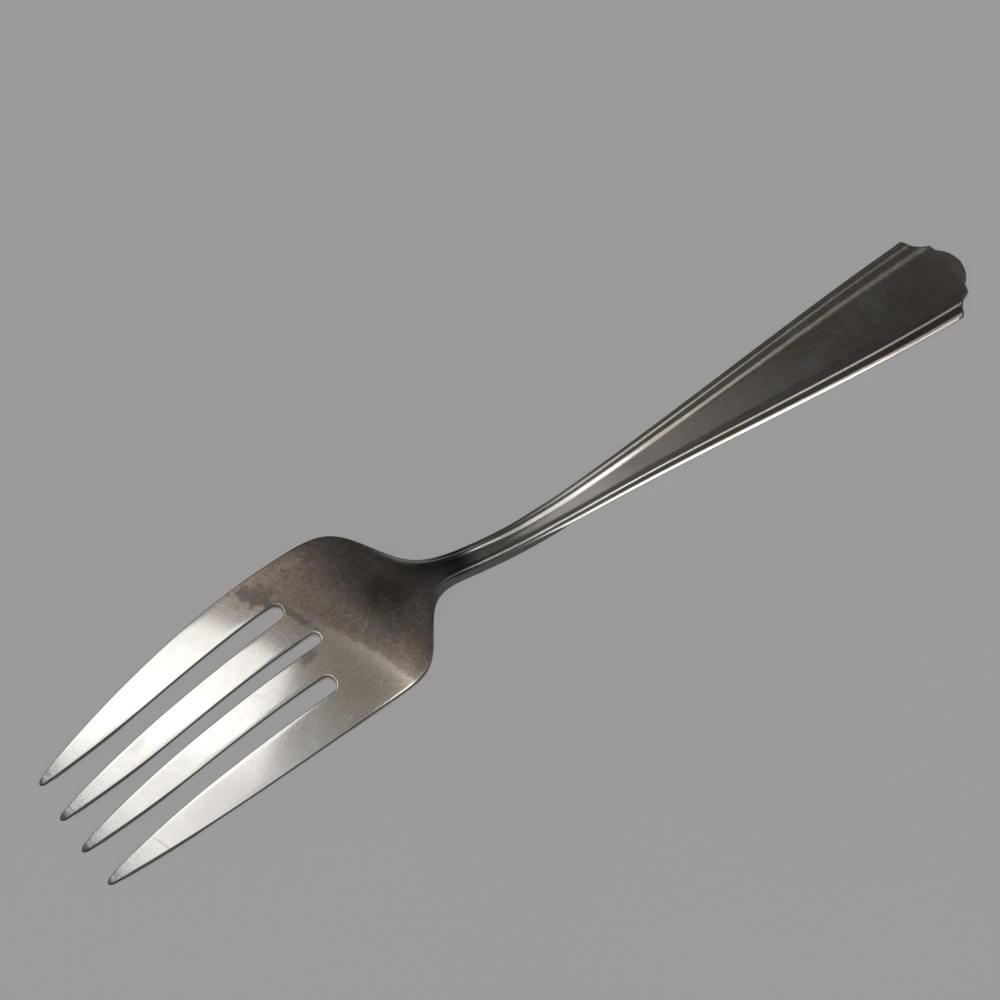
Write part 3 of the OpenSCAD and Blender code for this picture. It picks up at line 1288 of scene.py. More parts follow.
class Pits(Effect):
    """Scattered small pits of uneven outline.

    Attributes:
        finer: How much finer than a pit the unevenness of its outline is.
        fade: Share of a pit's size over which it fades in.
    """

    name = "pits"
    finer = 2.5
    fade: Span = (0.42, 0.08)
    inputs = {"Position": SocketKind.VECTOR, "Size": SocketKind.VALUE, "Share": SocketKind.VALUE}

    def mask(self, desk: NodeDesk, given: bpy.types.NodeOutputs) -> Socket:
        """Lay out the pits: 1 in the middle of a pit, 0 between the pits.

        Args:
            desk: The desk of the group's tree.
            given: The group's inputs.

        Returns:
            The mask that the group puts out.
        """
        scale = desk.math("DIVIDE", 1.0, given["Size"])
        fine = desk.times(scale, self.finer)
        shake = desk.add("ShaderNodeTexNoise", Vector=given["Position"], Scale=fine)
        shaken = desk.vector("SUBTRACT", shake.outputs["Color"], (NOISE_MIDDLE,) * 3)
        moved = desk.vector("ADD", given["Position"], desk.vector("MULTIPLY", shaken, given["Size"]))
        cells = desk.add("ShaderNodeTexVoronoi", Vector=moved, Scale=scale)
        pit = desk.step(cells.outputs["Distance"], *self.fade)
        pick = desk.add("ShaderNodeSeparateColor", Color=cells.outputs["Color"]).outputs[0]
        kept = desk.math("LESS_THAN", pick, given["Share"])
        return desk.times(pit, kept)


class Scratches(Effect):
    """Fine scratches that run about one way.

    Attributes:
        threshold: Noise at which a scratch begins to show, before its share is taken off.
        softness: Further noise at which it shows in full.
    """

    name = "scratches"
    threshold = 0.74
    softness = 0.1
    inputs = {
        "Position": SocketKind.VECTOR,
        "Turn": SocketKind.VALUE,
        "Length": SocketKind.VALUE,
        "Width": SocketKind.VALUE,
        "Share": SocketKind.VALUE,
    }

    def mask(self, desk: NodeDesk, given: bpy.types.NodeOutputs) -> Socket:
        """Lay out the scratches: 1 along a scratch, 0 beside it.

        Args:
            desk: The desk of the group's tree.
            given: The group's inputs.

        Returns:
            The mask that the group puts out.
        """
        turned = desk.turned_back(given["Position"], given["Turn"])
        size = desk.add("ShaderNodeCombineXYZ", X=given["Length"], Y=given["Width"], Z=given["Length"])
        stretched = desk.vector("DIVIDE", turned, size.outputs[0])
        noise = desk.noise(stretched, size=1.0, detail=1.0)
        start = desk.math("SUBTRACT", self.threshold, given["Share"])
        return desk.step(noise, start, desk.math("ADD", start, self.softness))


class Mottling(Effect):
    """Cloudy, uneven patches.

    Attributes:
        detail: Detail of the clouds.
        contrast: Noise over which they grow cloudy.
    """

    name = "mottling"
    detail = 5.0
    contrast: Span = (0.32, 0.68)
    inputs = {"Position": SocketKind.VECTOR, "Size": SocketKind.VALUE}

    def mask(self, desk: NodeDesk, given: bpy.types.NodeOutputs) -> Socket:
        """Lay out the clouds: 0 and 1 in the clearest and the cloudiest places."""
        return desk.step(desk.noise(given["Position"], given["Size"], self.detail), *self.contrast)


@dataclass(frozen=True)
class Stain:
    """A patch of tarnish, dirt or shine on the fork.

    Attributes:
        place: Distance of its middle from the tips, in millimetres.
        across: Distance of its middle from the middle of the fork, in millimetres.
        length: Half its length.
        width: Half its width.
        turn: Turn of its length, in degrees.
        colour: Colour of the metal in its middle.
        strength: How much of that colour shows.
        ragged: How ragged its edge is.
        grain: Size of the ragged detail, in millimetres.
    """

    place: float
    across: float
    length: float
    width: float
    turn: float
    colour: Colour
    strength: float
    ragged: float
    grain: float

    def over(self, desk: NodeDesk, position: Source, colour: Source) -> Socket:
        """Lay the stain over a colour.

        Args:
            desk: The desk of the material's tree.
            position: Position on the fork, in millimetres from the tips.
            colour: The colour under the stain.

        Returns:
            The stained colour's socket.
        """
        mask = Patches().place(
            desk,
            Position=position,
            Centre=(self.place, self.across, 0.0),
            Reach=(self.length, self.width, 1.0),
            Turn=math.radians(self.turn),
            Ragged=self.ragged,
            Grain=self.grain,
        )
        return desk.blend(desk.times(mask, self.strength), colour, self.colour)


@dataclass(frozen=True)
class ScratchSet:
    """Scratches of one direction.

    Attributes:
        turn: Turn from the fork's length, in degrees.
        length: Length of a scratch, in millimetres.
        width: Width of a scratch, in millimetres.
        share: How much of the metal is scratched.
    """

    turn: float
    length: float
    width: float
    share: float

    def mask(self, desk: NodeDesk, position: Source) -> Socket:
        """Place the scratches in a material and return their mask."""
        sizes = {"Length": self.length, "Width": self.width, "Share": self.share}
        return Scratches().place(desk, Position=position, Turn=math.radians(self.turn), **sizes)


def fork_position(desk: NodeDesk, length: float) -> Socket:
    """Return the position on the fork in millimetres from the tips, read from the piece's own coordinates.

    Args:
        desk: The desk of the material's tree.
        length: Length of the fork, in millimetres.

    Returns:
        The position's socket.
    """
    own = desk.add("ShaderNodeTexCoord").outputs["Object"]
    scale = 1 / METRES_PER_MM
    mapping = desk.add("ShaderNodeMapping", Vector=own, Location=(length / 2, 0, 0), Scale=(scale,) * 3)
    return mapping.outputs["Vector"]


def edge_closeness(desk: NodeDesk) -> Socket:
    """Return the closeness to an edge that a skin's mesh carries."""
    return desk.add("ShaderNodeAttribute", {"attribute_name": WALL_LAYER}).outputs["Fac"]


def bumped(desk: NodeDesk, height: Source) -> Socket:
    """Return the normal of a surface that a height raises."""
    return desk.add("ShaderNodeBump", Strength=1.0, Distance=BUMP_DEPTH, Height=height).outputs["Normal"]


def new_material(name: str) -> tuple[bpy.types.Material, NodeDesk, bpy.types.Node]:
    """Make a material with a lone Principled shader.

    Args:
        name: Name of the material.

    Returns:
        The material, the desk of its tree and its shader.
    """
    material = bpy.data.materials.new(name)
    material.use_nodes = True
    return material, NodeDesk(material.node_tree), material.node_tree.nodes["Principled BSDF"]


@dataclass(frozen=True)
class SilverMasks:
    """Places and masks that the layers of the silver share.

    Attributes:
        position: Position on the fork, in millimetres from the tips.
        place: Distance from the tips.
        across: Distance from the middle of the fork.
        palm: Mask of the palm.
        handle: Mask of the handle.
        tips: Mask of the tips.
        clouds: Mask of the clouds.
        specks: Mask of the pits.
        line: Distance past the line where the tarnish of the palm begins.
        tarnished: Mask of the palm past that line.
        edge_shade: Mask of the painted shade on the side walls, along the palm's rims and round the slots'
            ends.
    """

    position: Socket
    place: Socket
    across: Socket
    palm: Socket
    handle: Socket
    tips: Socket
    clouds: Socket
    specks: Socket
    line: Socket
    tarnished: Socket
    edge_shade: Socket


@dataclass(frozen=True)
class SilverFinish:
    """Polished silver plate, scratched, pitted on the palm and lightly tarnished.

    Places and sizes are in millimetres. A field of shares holds what is there everywhere, and then what each
    of the masks that its line names adds.

    Attributes:
        length: Length of the fork.
        clean: Colour of clean silver.
        tarnish: Colour of the warm tarnish on the palm.
        tarnish_handle: Colour of the faint tarnish on the handle.
        worn: Colour where the plate is worn thin at the tips.
        speck: Colour of the fine dark grain.
        blotch: Colour of the small blotches on the palm.
        crest: Colour of the rubbed silver just before the tarnish begins.
        grime_and_shade: Colour of the painted shade on the side walls, along the palm's rims and round the
            slots' ends.
        haze: Colour of the faint haze on the tines.
        gloss: Reflection where the painted shade of the edges has made the surface stop being metal.
        palm_along: Where the palm begins and ends.
        handle_along: Where the handle begins.
        tips_along: Where the worn tips end.
        cloud_size: Size of the clouds.
        pits: Size and share of the dark pits.
        line_slant: Slant of the line where the palm's tarnish begins, and how it grows across the fork.
        line_noise: Size and detail of the line's unevenness.
        line_shake: Place of the line, and how far it is shaken.
        line_edge: Where the tarnish begins past the line.
        blunt_along: Where the walls of the blunt tips end.
        wall_start: Closeness to an edge where a wall's painted shade begins; blunt tips.
        wall_end: Closeness to an edge where a wall's painted shade is full; blunt tips.
        rim_edge: Closeness to an edge where a rim's painted shade begins and is full.
        rim_along: Where the painted shade of the palm's rims begins.
        rim_across: Where the rim's painted shade begins across the fork, on its upper side.
        rim_both: Where both sides of the palm are dirty.
        rim_share: Share of the rims' painted shade.
        ring_edge: Closeness to an edge where the painted shade round a slot's end begins and is full.
        ring_along: Where that painted shade begins and ends.
        ring_share: Share of that painted shade.
        edge_shade_colour: Edge shade over which the colour turns to the colour of the painted shade.
        edge_shade_metal: Edge shade over which the surface stops being metal, which darkens the painted shade
            further.
        tarnish_shares: Shares of the palm's tarnish; clouds, past the line.
        faint_share: Share of the handle's tarnish.
        haze_size: Size of the haze's clouds.
        haze_along: Where the haze ends.
        haze_share: Share of the haze.
        grain_noise: Size and detail of the dark grain.
        grain_contrast: Noise over which the grain turns dark.
        tip_ends: Where the tips' most worn ends begin.
        worn_shares: Shares of the tips' wear; grain, ends.
        dust_shares: Shares of the dust past the line; clouds.
        speck_shares: Shares of the dark grain; palm, dust, handle.
        blotch_size: Size of the blotches.
        blotch_share: Share of the blotches.
        shade_line: Where the shade past the line begins and ends.
        shade_share: Share of that shade.
        crest_line: Where the rubbed silver before the line begins and ends.
        crest_across: Where it begins across the fork.
        crest_share: Share of it.
        pit_cloud_shares: Shares of pits and glints on the palm; clouds.
        pit_line_shares: Shares of pits and glints; past the line.
        glints: Size and share of the bright pits.
        cut_shares: Shares of the bright scratches; palm, handle.
        cuts: Bright scratches through the tarnish.
        panel_flare: How fast the handle's panel widens.
        panel_edge: Where the panel's rubbing begins inside that edge.
        panel_along: Where the panel's rubbing begins and ends.
        panel_rough: Shares of the panel's roughness; clouds.
        neck_along: Where the rubbing next to the neck begins and ends.
        rough_shares: Shares of roughness; clouds of the palm, tips, painted edge shade, past the line, next
            to the neck.
        bump_noise: Size and detail of the grain's bumps.
        bump_shares: Shares of the grain's bumps; palm, tips.
        pit_depth: Depth of the pits, as a share of the bumps.
        cut_depth: Depth of the fine scratches, as a share of the bumps.
        fine_cuts: Fine scratches in the surface.
        stains: Single patches.
    """

    length: float
    clean: Colour = (0.95, 0.935, 0.9)
    tarnish: Colour = (0.8, 0.67, 0.57)
    tarnish_handle: Colour = (0.8, 0.69, 0.58)
    worn: Colour = (0.36, 0.352, 0.352)
    speck: Colour = (0.13, 0.128, 0.125)
    blotch: Colour = (0.4, 0.33, 0.28)
    crest: Colour = (1.0, 0.94, 0.85)
    grime_and_shade: Colour = (0.075, 0.073, 0.069)
    haze: Colour = (0.74, 0.69, 0.68)
    gloss: float = 0.1
    palm_along: Band = ((33.0, 44.0), (66.0, 55.0))
    handle_along: Span = (80.0, 108.0)
    tips_along: Span = (10.0, 1.0)
    cloud_size: float = 3.2
    pits: Pair = (0.52, 0.3)
    line_slant: Shares = (0.5, 0.006)
    line_noise: Pair = (1.2, 3.0)
    line_shake: Shares = (-44.3, 1.4)
    line_edge: Span = (-0.4, 0.6)
    blunt_along: Span = (20.0, 5.0)
    wall_start: Shares = (0.72, -0.1)
    wall_end: Shares = (0.95, -0.06)
    rim_edge: Span = (0.1, 0.55)
    rim_along: Span = (42.0, 50.0)
    rim_across: Span = (1.0, 2.0)
    rim_both: Span = (54.0, 58.0)
    rim_share: float = 0.95
    ring_edge: Span = (0.4, 0.8)
    ring_along: Band = ((36.5, 38.5), (44.0, 42.5))
    ring_share: float = 0.28
    edge_shade_colour: Span = (0.0, 0.65)
    edge_shade_metal: Span = (1.02, 0.5)
    tarnish_shares: Shares = (0.3, 0.4, 0.3)
    faint_share: float = 0.7
    haze_size: float = 2.0
    haze_along: Span = (38.0, 32.0)
    haze_share: float = 0.22
    grain_noise: Pair = (0.2, 2.0)
    grain_contrast: Span = (0.35, 0.65)
    tip_ends: Span = (5.0, 2.0)
    worn_shares: Shares = (0.45, 0.4, 0.22)
    dust_shares: Shares = (0.3, 0.7)
    speck_shares: Shares = (0.04, 0.2, 0.36, 0.08)
    blotch_size: float = 0.9
    blotch_share: float = 0.5
    shade_line: Band = ((0.0, 0.8), (4.0, 1.6))
    shade_share: float = 0.3
    crest_line: Band = ((-2.6, -0.4), (0.5, -0.3))
    crest_across: Span = (1.5, -1.0)
    crest_share: float = 0.55
    pit_cloud_shares: Shares = (0.3, 0.5)
    pit_line_shares: Shares = (0.4, 0.6)
    glints: Pair = (0.47, 0.2)
    cut_shares: Shares = (0.0, 0.32, 0.1)
    cuts: tuple[ScratchSet, ...] = (
        ScratchSet(35.0, 2.4, 0.14, 0.12),
        ScratchSet(-40.0, 1.8, 0.14, 0.11),
        ScratchSet(-8.0, 3.2, 0.14, 0.1),
    )
    panel_flare: float = 0.048
    panel_edge: Span = (-3.1, -3.7)
    panel_along: Band = ((70.0, 80.0), (142.0, 84.0))
    panel_rough: Shares = (0.2, 0.08)
    neck_along: Band = ((68.0, 78.0), (98.0, 84.0))
    rough_shares: Shares = (0.14, 0.06, 0.12, 0.3, 0.09, 0.16)
    bump_noise: Pair = (0.13, 2.0)
    bump_shares: Shares = (0.12, 0.2, 0.25)
    pit_depth: float = 0.15
    cut_depth: float = 0.12
    fine_cuts: tuple[ScratchSet, ...] = (
        ScratchSet(24.0, 5.0, 0.12, 0.1),
        ScratchSet(-58.0, 3.0, 0.12, 0.08),
        ScratchSet(80.0, 2.0, 0.12, 0.06),
    )
    stains: tuple[Stain, ...] = (
        Stain(22.0, -10.4, 15.0, 3.2, 4.0, (0.86, 0.815, 0.8), 0.8, 0.4, 3.0),
        Stain(14.0, 4.0, 2.2, 1.2, 20.0, (0.72, 0.69, 0.66), 0.6, 0.5, 1.0),
        Stain(9.2, -9.9, 0.16, 2.4, 18.0, (0.55, 0.52, 0.5), 0.6, 0.2, 1.0),
        Stain(45.5, -7.0, 7.5, 6.5, 15.0, (0.78, 0.71, 0.62), 0.8, 0.25, 4.0),
        Stain(51.0, -9.0, 2.8, 2.6, 0.0, (1.0, 0.75, 0.62), 0.8, 0.4, 2.0),
        Stain(53.0, 0.0, 4.6, 3.6, 10.0, (0.42, 0.34, 0.22), 0.75, 0.9, 2.0),
        Stain(49.5, 9.5, 4.0, 3.2, -30.0, (1.0, 0.9, 0.84), 0.7, 0.6, 2.0),
        Stain(62.5, 0.0, 6.5, 5.5, 0.0, (0.17, 0.17, 0.175), 0.92, 0.3, 3.0),
        Stain(59.0, 0.0, 4.5, 8.5, 0.0, (0.46, 0.43, 0.41), 0.65, 0.4, 3.0),
        Stain(43.5, 11.4, 5.0, 1.1, 2.0, (1.0, 0.94, 0.78), 0.9, 0.35, 1.5),
        Stain(38.0, 10.0, 4.4, 1.8, -56.0, (0.26, 0.25, 0.24), 0.72, 2.2, 1.0),
        Stain(40.9, 4.1, 3.4, 0.75, -70.0, (0.28, 0.27, 0.255), 0.62, 2.2, 0.7),
        Stain(38.8, -1.8, 1.9, 0.9, 10.0, (0.35, 0.32, 0.3), 0.6, 0.9, 0.8),
        Stain(131.0, 2.2, 9.0, 2.6, 8.0, (0.84, 0.68, 0.58), 0.6, 0.6, 3.0),
        Stain(146.0, -1.0, 6.0, 3.2, 0.0, (0.72, 0.71, 0.6), 0.5, 0.6, 3.0),
        Stain(144.0, -3.4, 18.0, 3.4, 2.0, (0.64, 0.59, 0.55), 0.6, 0.5, 3.0),
        Stain(151.0, 0.5, 8.0, 6.0, 0.0, (0.66, 0.6, 0.55), 0.7, 0.4, 3.0),
        Stain(149.0, -7.0, 14.0, 2.2, -4.0, (0.44, 0.41, 0.37), 0.8, 0.4, 2.0),
    )

    def build(self) -> bpy.types.Material:
        """Make the material.

        Returns:
            The material.
        """
        material, desk, shader = new_material("silver_plate")
        masks = self.masks(desk)
        colour = self.worn_over(desk, masks, self.tarnished_silver(desk, masks))
        desk.feed(shader.inputs["Base Color"], colour)
        desk.feed(shader.inputs["Roughness"], self.roughness(desk, masks))
        # Where the edges carry painted shade, the surface stops being metal and shows darker.
        desk.feed(shader.inputs["Metallic"], desk.step(masks.edge_shade, *self.edge_shade_metal))
        desk.feed(shader.inputs["Normal"], self.normal(desk, masks))
        shader.inputs["Specular IOR Level"].default_value = self.gloss
        return material

    def masks(self, desk: NodeDesk) -> SilverMasks:
        """Lay out what the layers share.

        Args:
            desk: The desk of the material's tree.

        Returns:
            The places and masks.
        """
        position = fork_position(desk, self.length)
        place, across, _ = desk.parts(position)
        pit_size, pit_share = self.pits
        palm = desk.band(place, *self.palm_along)
        line = self.tarnish_line(desk, position)
        return SilverMasks(
            position=position,
            place=place,
            across=across,
            palm=palm,
            handle=desk.step(place, *self.handle_along),
            tips=desk.step(place, *self.tips_along),
            clouds=Mottling().place(desk, Position=position, Size=self.cloud_size),
            specks=Pits().place(desk, Position=position, Size=pit_size, Share=pit_share),
            line=line,
            tarnished=desk.times(desk.step(line, *self.line_edge), palm),
            edge_shade=self.shaded_edges(desk, place, across),
        )

    def tarnish_line(self, desk: NodeDesk, position: Source) -> Socket:
        """Measure how far a point lies past the slanting line where the tarnish of the palm begins.

        Args:
            desk: The desk of the material's tree.
            position: Position on the fork.

        Returns:
            The distance past the line, in millimetres, below 0 on the tines' side.
        """
        place, across, _ = desk.parts(position)
        slant = desk.times(across, desk.total(self.line_slant, across))
        shaken = desk.total(self.line_shake, desk.noise(position, *self.line_noise))
        return desk.math("ADD", desk.math("ADD", place, slant), shaken)

    def shaded_edges(self, desk: NodeDesk, place: Source, across: Source) -> Socket:
        """Mask the painted shade on the side walls, along the palm's rims and round the slots' ends.

        Args:
            desk: The desk of the material's tree.
            place: Distance from the tips.
            across: Distance from the middle of the fork.

        Returns:
            The mask.
        """
        edge = edge_closeness(desk)
        blunt = desk.step(place, *self.blunt_along)
        walls = desk.step(edge, desk.total(self.wall_start, blunt), desk.total(self.wall_end, blunt))
        sides = desk.math("MAXIMUM", desk.step(across, *self.rim_across), desk.step(place, *self.rim_both))
        sides = desk.times(sides, desk.step(place, *self.rim_along), self.rim_share)
        rims = desk.times(desk.step(edge, *self.rim_edge), sides)
        ends = desk.times(desk.band(place, *self.ring_along), self.ring_share)
        rings = desk.times(desk.step(edge, *self.ring_edge), ends)
        return desk.math("MAXIMUM", walls, desk.math("MAXIMUM", rims, rings))

    def tarnished_silver(self, desk: NodeDesk, masks: SilverMasks) -> Socket:
        """Lay tarnish, haze and stains over the clean silver.

        Args:
            desk: The desk of the material's tree.
            masks: What the layers share.

        Returns:
            The colour's socket.
        """
        cloudy = desk.total(self.tarnish_shares, masks.clouds, masks.tarnished)
        colour = desk.blend(desk.times(masks.palm, cloudy), self.clean, self.tarnish)
        faint = desk.times(masks.handle, masks.clouds, self.faint_share)
        colour = desk.blend(faint, colour, self.tarnish_handle)
        misty = Mottling().place(desk, Position=masks.position, Size=self.haze_size)
        misty = desk.times(misty, desk.step(masks.place, *self.haze_along), self.haze_share)
        colour = desk.blend(misty, colour, self.haze)
        for stain in self.stains:
            colour = stain.over(desk, masks.position, colour)
        return colour

    def worn_over(self, desk: NodeDesk, masks: SilverMasks, colour: Source) -> Socket:
        """Lay wear, grain, pits and scratches over a colour, and then the painted shade of the edges.

        Args:
            desk: The desk of the material's tree.
            masks: What the layers share.
            colour: The colour under them.

        Returns:
            The colour's socket.
        """
        position, palm, line = masks.position, masks.palm, masks.line
        grain = desk.step(desk.noise(position, *self.grain_noise), *self.grain_contrast)
        thin = desk.total(self.worn_shares, grain, desk.step(masks.place, *self.tip_ends))
        colour = desk.blend(desk.times(masks.tips, thin), colour, self.worn)
        dust = desk.times(masks.tarnished, desk.total(self.dust_shares, masks.clouds))
        worked = desk.total(self.speck_shares, palm, dust, masks.handle)
        colour = desk.blend(desk.times(worked, grain), colour, self.speck)
        blotches = Mottling().place(desk, Position=position, Size=self.blotch_size)
        colour = desk.blend(desk.times(blotches, dust, self.blotch_share), colour, self.blotch)
        shade = desk.times(desk.band(line, *self.shade_line), palm, self.shade_share)
        colour = desk.blend(shade, colour, self.blotch)
        crest = desk.times(desk.band(line, *self.crest_line), desk.step(masks.across, *self.crest_across))
        colour = desk.blend(desk.times(crest, self.crest_share), colour, self.crest)
        uneven = desk.times(palm, desk.total(self.pit_cloud_shares, masks.clouds))
        uneven = desk.times(uneven, desk.total(self.pit_line_shares, masks.tarnished))
        colour = desk.blend(desk.times(masks.specks, uneven), colour, self.speck)
        glint_size, glint_share = self.glints
        glints = Pits().place(desk, Position=position, Size=glint_size, Share=glint_share)
        colour = desk.blend(desk.times(glints, uneven), colour, self.clean)
        shown = desk.total(self.cut_shares, palm, masks.handle)
        for cut in self.cuts:
            colour = desk.blend(desk.times(cut.mask(desk, position), shown), colour, self.clean)
        # Painted shade on the side walls, along the palm's rims and round the slots' ends.
        return desk.blend(desk.step(masks.edge_shade, *self.edge_shade_colour), colour, self.grime_and_shade)

    def roughness(self, desk: NodeDesk, masks: SilverMasks) -> Socket:
        """Roughen the palm, the tips, the edges with painted shade, and the handle where hands have rubbed
        it.

        Args:
            desk: The desk of the material's tree.
            masks: What the layers share.

        Returns:
            The roughness.
        """
        off = desk.math("MULTIPLY_ADD", masks.place, -self.panel_flare, desk.math("ABSOLUTE", masks.across))
        panel = desk.times(desk.step(off, *self.panel_edge), desk.band(masks.place, *self.panel_along))
        panel = desk.times(panel, desk.total(self.panel_rough, masks.clouds))
        cloudy = desk.times(masks.palm, masks.clouds)
        neck = desk.band(masks.place, *self.neck_along)
        rough = desk.total(self.rough_shares, cloudy, masks.tips, masks.edge_shade, masks.tarnished, neck)
        return desk.math("ADD", panel, rough)

    def normal(self, desk: NodeDesk, masks: SilverMasks) -> Socket:
        """Raise the grain, and sink the pits and the fine scratches.

        Args:
            desk: The desk of the material's tree.
            masks: What the layers share.

        Returns:
            The bumped normal.
        """
        share = desk.total(self.bump_shares, masks.palm, masks.tips)
        height = desk.times(desk.noise(masks.position, *self.bump_noise), share)
        height = desk.math("ADD", height, desk.times(masks.specks, masks.palm, -self.pit_depth))
        for cut in self.fine_cuts:
            height = desk.math("MULTIPLY_ADD", cut.mask(desk, masks.position), -self.cut_depth, height)
        return bumped(desk, height)


@dataclass(frozen=True)
class NickelFinish:
    """Bare nickel silver, satin and worn, as it shows at the tips.

    Places and sizes are in millimetres. A field of shares holds what is there everywhere, and then what each
    of the masks that its line names adds.

    Attributes:
        length: Length of the fork.
        bright: Colour of the rubbed metal.
        dull: Colour of the dull metal.
        grime_and_shade: Colour of the soil in the pits, and of the painted shade on the narrow side walls and
            at the tips' ends.
        cloud_size: Size of the clouds.
        pits: Size and share of the pits.
        pit_dirt: Share of the soil in the pits.
        wall_edge: Closeness to an edge where a wall's painted shade begins and is full.
        shaded_ends: Where the painted shade at the tips' ends begins.
        edge_shade_share: Share of that painted shade.
        rough_shares: Shares of roughness; clouds, walls.
        bump_noise: Size and detail of the grain's bumps.
        bump_share: Share of the grain's bumps.
        cut_depth: Depth of the scratches, as a share of the bumps.
        cut: The scratches.
    """

    length: float
    bright: Colour = (0.46, 0.45, 0.45)
    dull: Colour = (0.32, 0.31, 0.31)
    grime_and_shade: Colour = (0.09, 0.088, 0.086)
    cloud_size: float = 0.6
    pits: Pair = (0.3, 0.5)
    pit_dirt: float = 0.5
    wall_edge: Span = (0.6, 0.95)
    shaded_ends: Span = (1.5, 0.5)
    edge_shade_share: float = 0.95
    rough_shares: Shares = (0.26, 0.14, 0.15)
    bump_noise: Pair = (0.13, 2.0)
    bump_share: float = 0.37
    cut_depth: float = 0.12
    cut: ScratchSet = ScratchSet(math.degrees(0.3), 2.0, 0.1, 0.12)

    def build(self) -> bpy.types.Material:
        """Make the material.

        Returns:
            The material.
        """
        material, desk, shader = new_material("nickel_silver")
        position = fork_position(desk, self.length)
        clouds = Mottling().place(desk, Position=position, Size=self.cloud_size)
        pit_size, pit_share = self.pits
        pits = Pits().place(desk, Position=position, Size=pit_size, Share=pit_share)
        walls = desk.step(edge_closeness(desk), *self.wall_edge)
        # Painted shade on the narrow side walls and at the tips' ends.
        edge_shade = desk.math("MAXIMUM", walls, desk.step(desk.parts(position)[0], *self.shaded_ends))
        colour = desk.blend(clouds, self.bright, self.dull)
        colour = desk.blend(desk.times(pits, self.pit_dirt), colour, self.grime_and_shade)
        colour = desk.blend(desk.times(edge_shade, self.edge_shade_share), colour, self.grime_and_shade)
        desk.feed(shader.inputs["Base Color"], colour)
        desk.feed(shader.inputs["Roughness"], desk.total(self.rough_shares, clouds, walls))
        height = desk.times(desk.noise(position, *self.bump_noise), self.bump_share)
        height = desk.math("MULTIPLY_ADD", self.cut.mask(desk, position), -self.cut_depth, height)
        desk.feed(shader.inputs["Normal"], bumped(desk, height))
        shader.inputs["Metallic"].default_value = 1.0
        return material


@dataclass(frozen=True)
class FloorFinish:
    """Pale grey floor with hardly any pattern and a light shadow.

    Attributes:
        light: Its lighter colour.
        dark: Its darker colour.
        patch: Size of a patch, in metres.
        even: Its colour without any shadow.
        even_share: Share of that colour that is seen.
        roughness: Its roughness.
        gloss: Its reflection.
    """

    light: Colour = (0.347, 0.341, 0.334)
    dark: Colour = (0.335, 0.329, 0.323)
    patch: float = 0.06
    even: Colour = (0.341, 0.335, 0.328)
    even_share: float = 0.88
    roughness: float = 0.85
    gloss: float = 0.2

    def build(self) -> bpy.types.Material:
        """Make the material.

        Returns:
            The material.
        """
        material, desk, shader = new_material("pale_floor")
        own = desk.add("ShaderNodeTexCoord").outputs["Object"]
        clouds = Mottling().place(desk, Position=own, Size=self.patch)
        desk.feed(shader.inputs["Base Color"], desk.blend(clouds, self.light, self.dark))
        shader.inputs["Roughness"].default_value = self.roughness
        shader.inputs["Specular IOR Level"].default_value = self.gloss
        rays = desk.add("ShaderNodeLightPath").outputs
        seen = desk.math("MAXIMUM", rays["Is Camera Ray"], rays["Is Glossy Ray"])
        seen = desk.math("MAXIMUM", seen, rays["Is Transmission Ray"])
        even = desk.add("ShaderNodeEmission", Color=(*self.even, 1.0), Strength=1.0)
        both = desk.add("ShaderNodeMixShader", Fac=desk.times(seen, self.even_share))
        desk.feed(both.inputs[1], shader.outputs["BSDF"])
        desk.feed(both.inputs[2], even.outputs["Emission"])
        desk.feed(material.node_tree.nodes["Material Output"].inputs["Surface"], both.outputs["Shader"])
        return material


def finished_piece(name: str, bm: bmesh.types.BMesh, material: bpy.types.Material) -> bpy.types.Object:
    """Make a bmesh a smooth, dressed object at the origin, and free the bmesh.

    Args:
        name: Name of the object.
        bm: The bmesh, in metres.
        material: Its material.

    Returns:
        The object.
    """
    for edge in bm.edges:
        edge.smooth = edge.calc_face_angle(0.0) < SHARP_ANGLE
    mesh = bpy.data.meshes.new(name)
    bm.to_mesh(mesh)
    bm.free()
    mesh.polygons.foreach_set("use_smooth", [True] * len(mesh.polygons))
    mesh.materials.append(material)
    obj = bpy.data.objects.new(name, mesh)
    bpy.context.collection.objects.link(obj)
    return obj


@dataclass
class SilverCoat:
    """The silver plate all over the fork, open at the tips where it is worn away.

    Attributes:
        shape: The fork's sizes.
        depth: How far its surface is set back from the fork's own sizes, in millimetres.
        thickness: Thickness of the plate, in millimetres.
        worn_length: Length of bare metal at each tip, in millimetres.
    """

    shape: ForkShape
    depth: float = 0.012
    thickness: float = 0.04
    worn_length: float = 2.0

    def build(self) -> bpy.types.Object:
        """Build and dress the coat.

        Returns:
            Its object.
        """
        bm = bmesh.new()
        ForkSkin(self.shape, self.depth, self.worn_length).add_to(bm)
        turn_outwards(bm)
        bmesh.ops.solidify(bm, geom=bm.faces, thickness=self.thickness)
        set_in_frame(bm, self.shape)
        return finished_piece("silver_coat", bm, SilverFinish(self.shape.length).build())


@dataclass
class NickelBlank:
    """The stamped blank under the plate, bare at the tips.

    Attributes:
        shape: The fork's sizes.
        depth: How far its surface is set back from the fork's own sizes, in millimetres.
    """

    shape: ForkShape
    depth: float = 0.052

    def build(self) -> bpy.types.Object:
        """Build and dress the blank.

        Returns:
            Its object.
        """
        bm = bmesh.new()
        ForkSkin(self.shape, self.depth).add_to(bm)
        turn_outwards(bm)
        set_in_frame(bm, self.shape)
        return finished_piece("nickel_blank", bm, NickelFinish(self.shape.length).build())


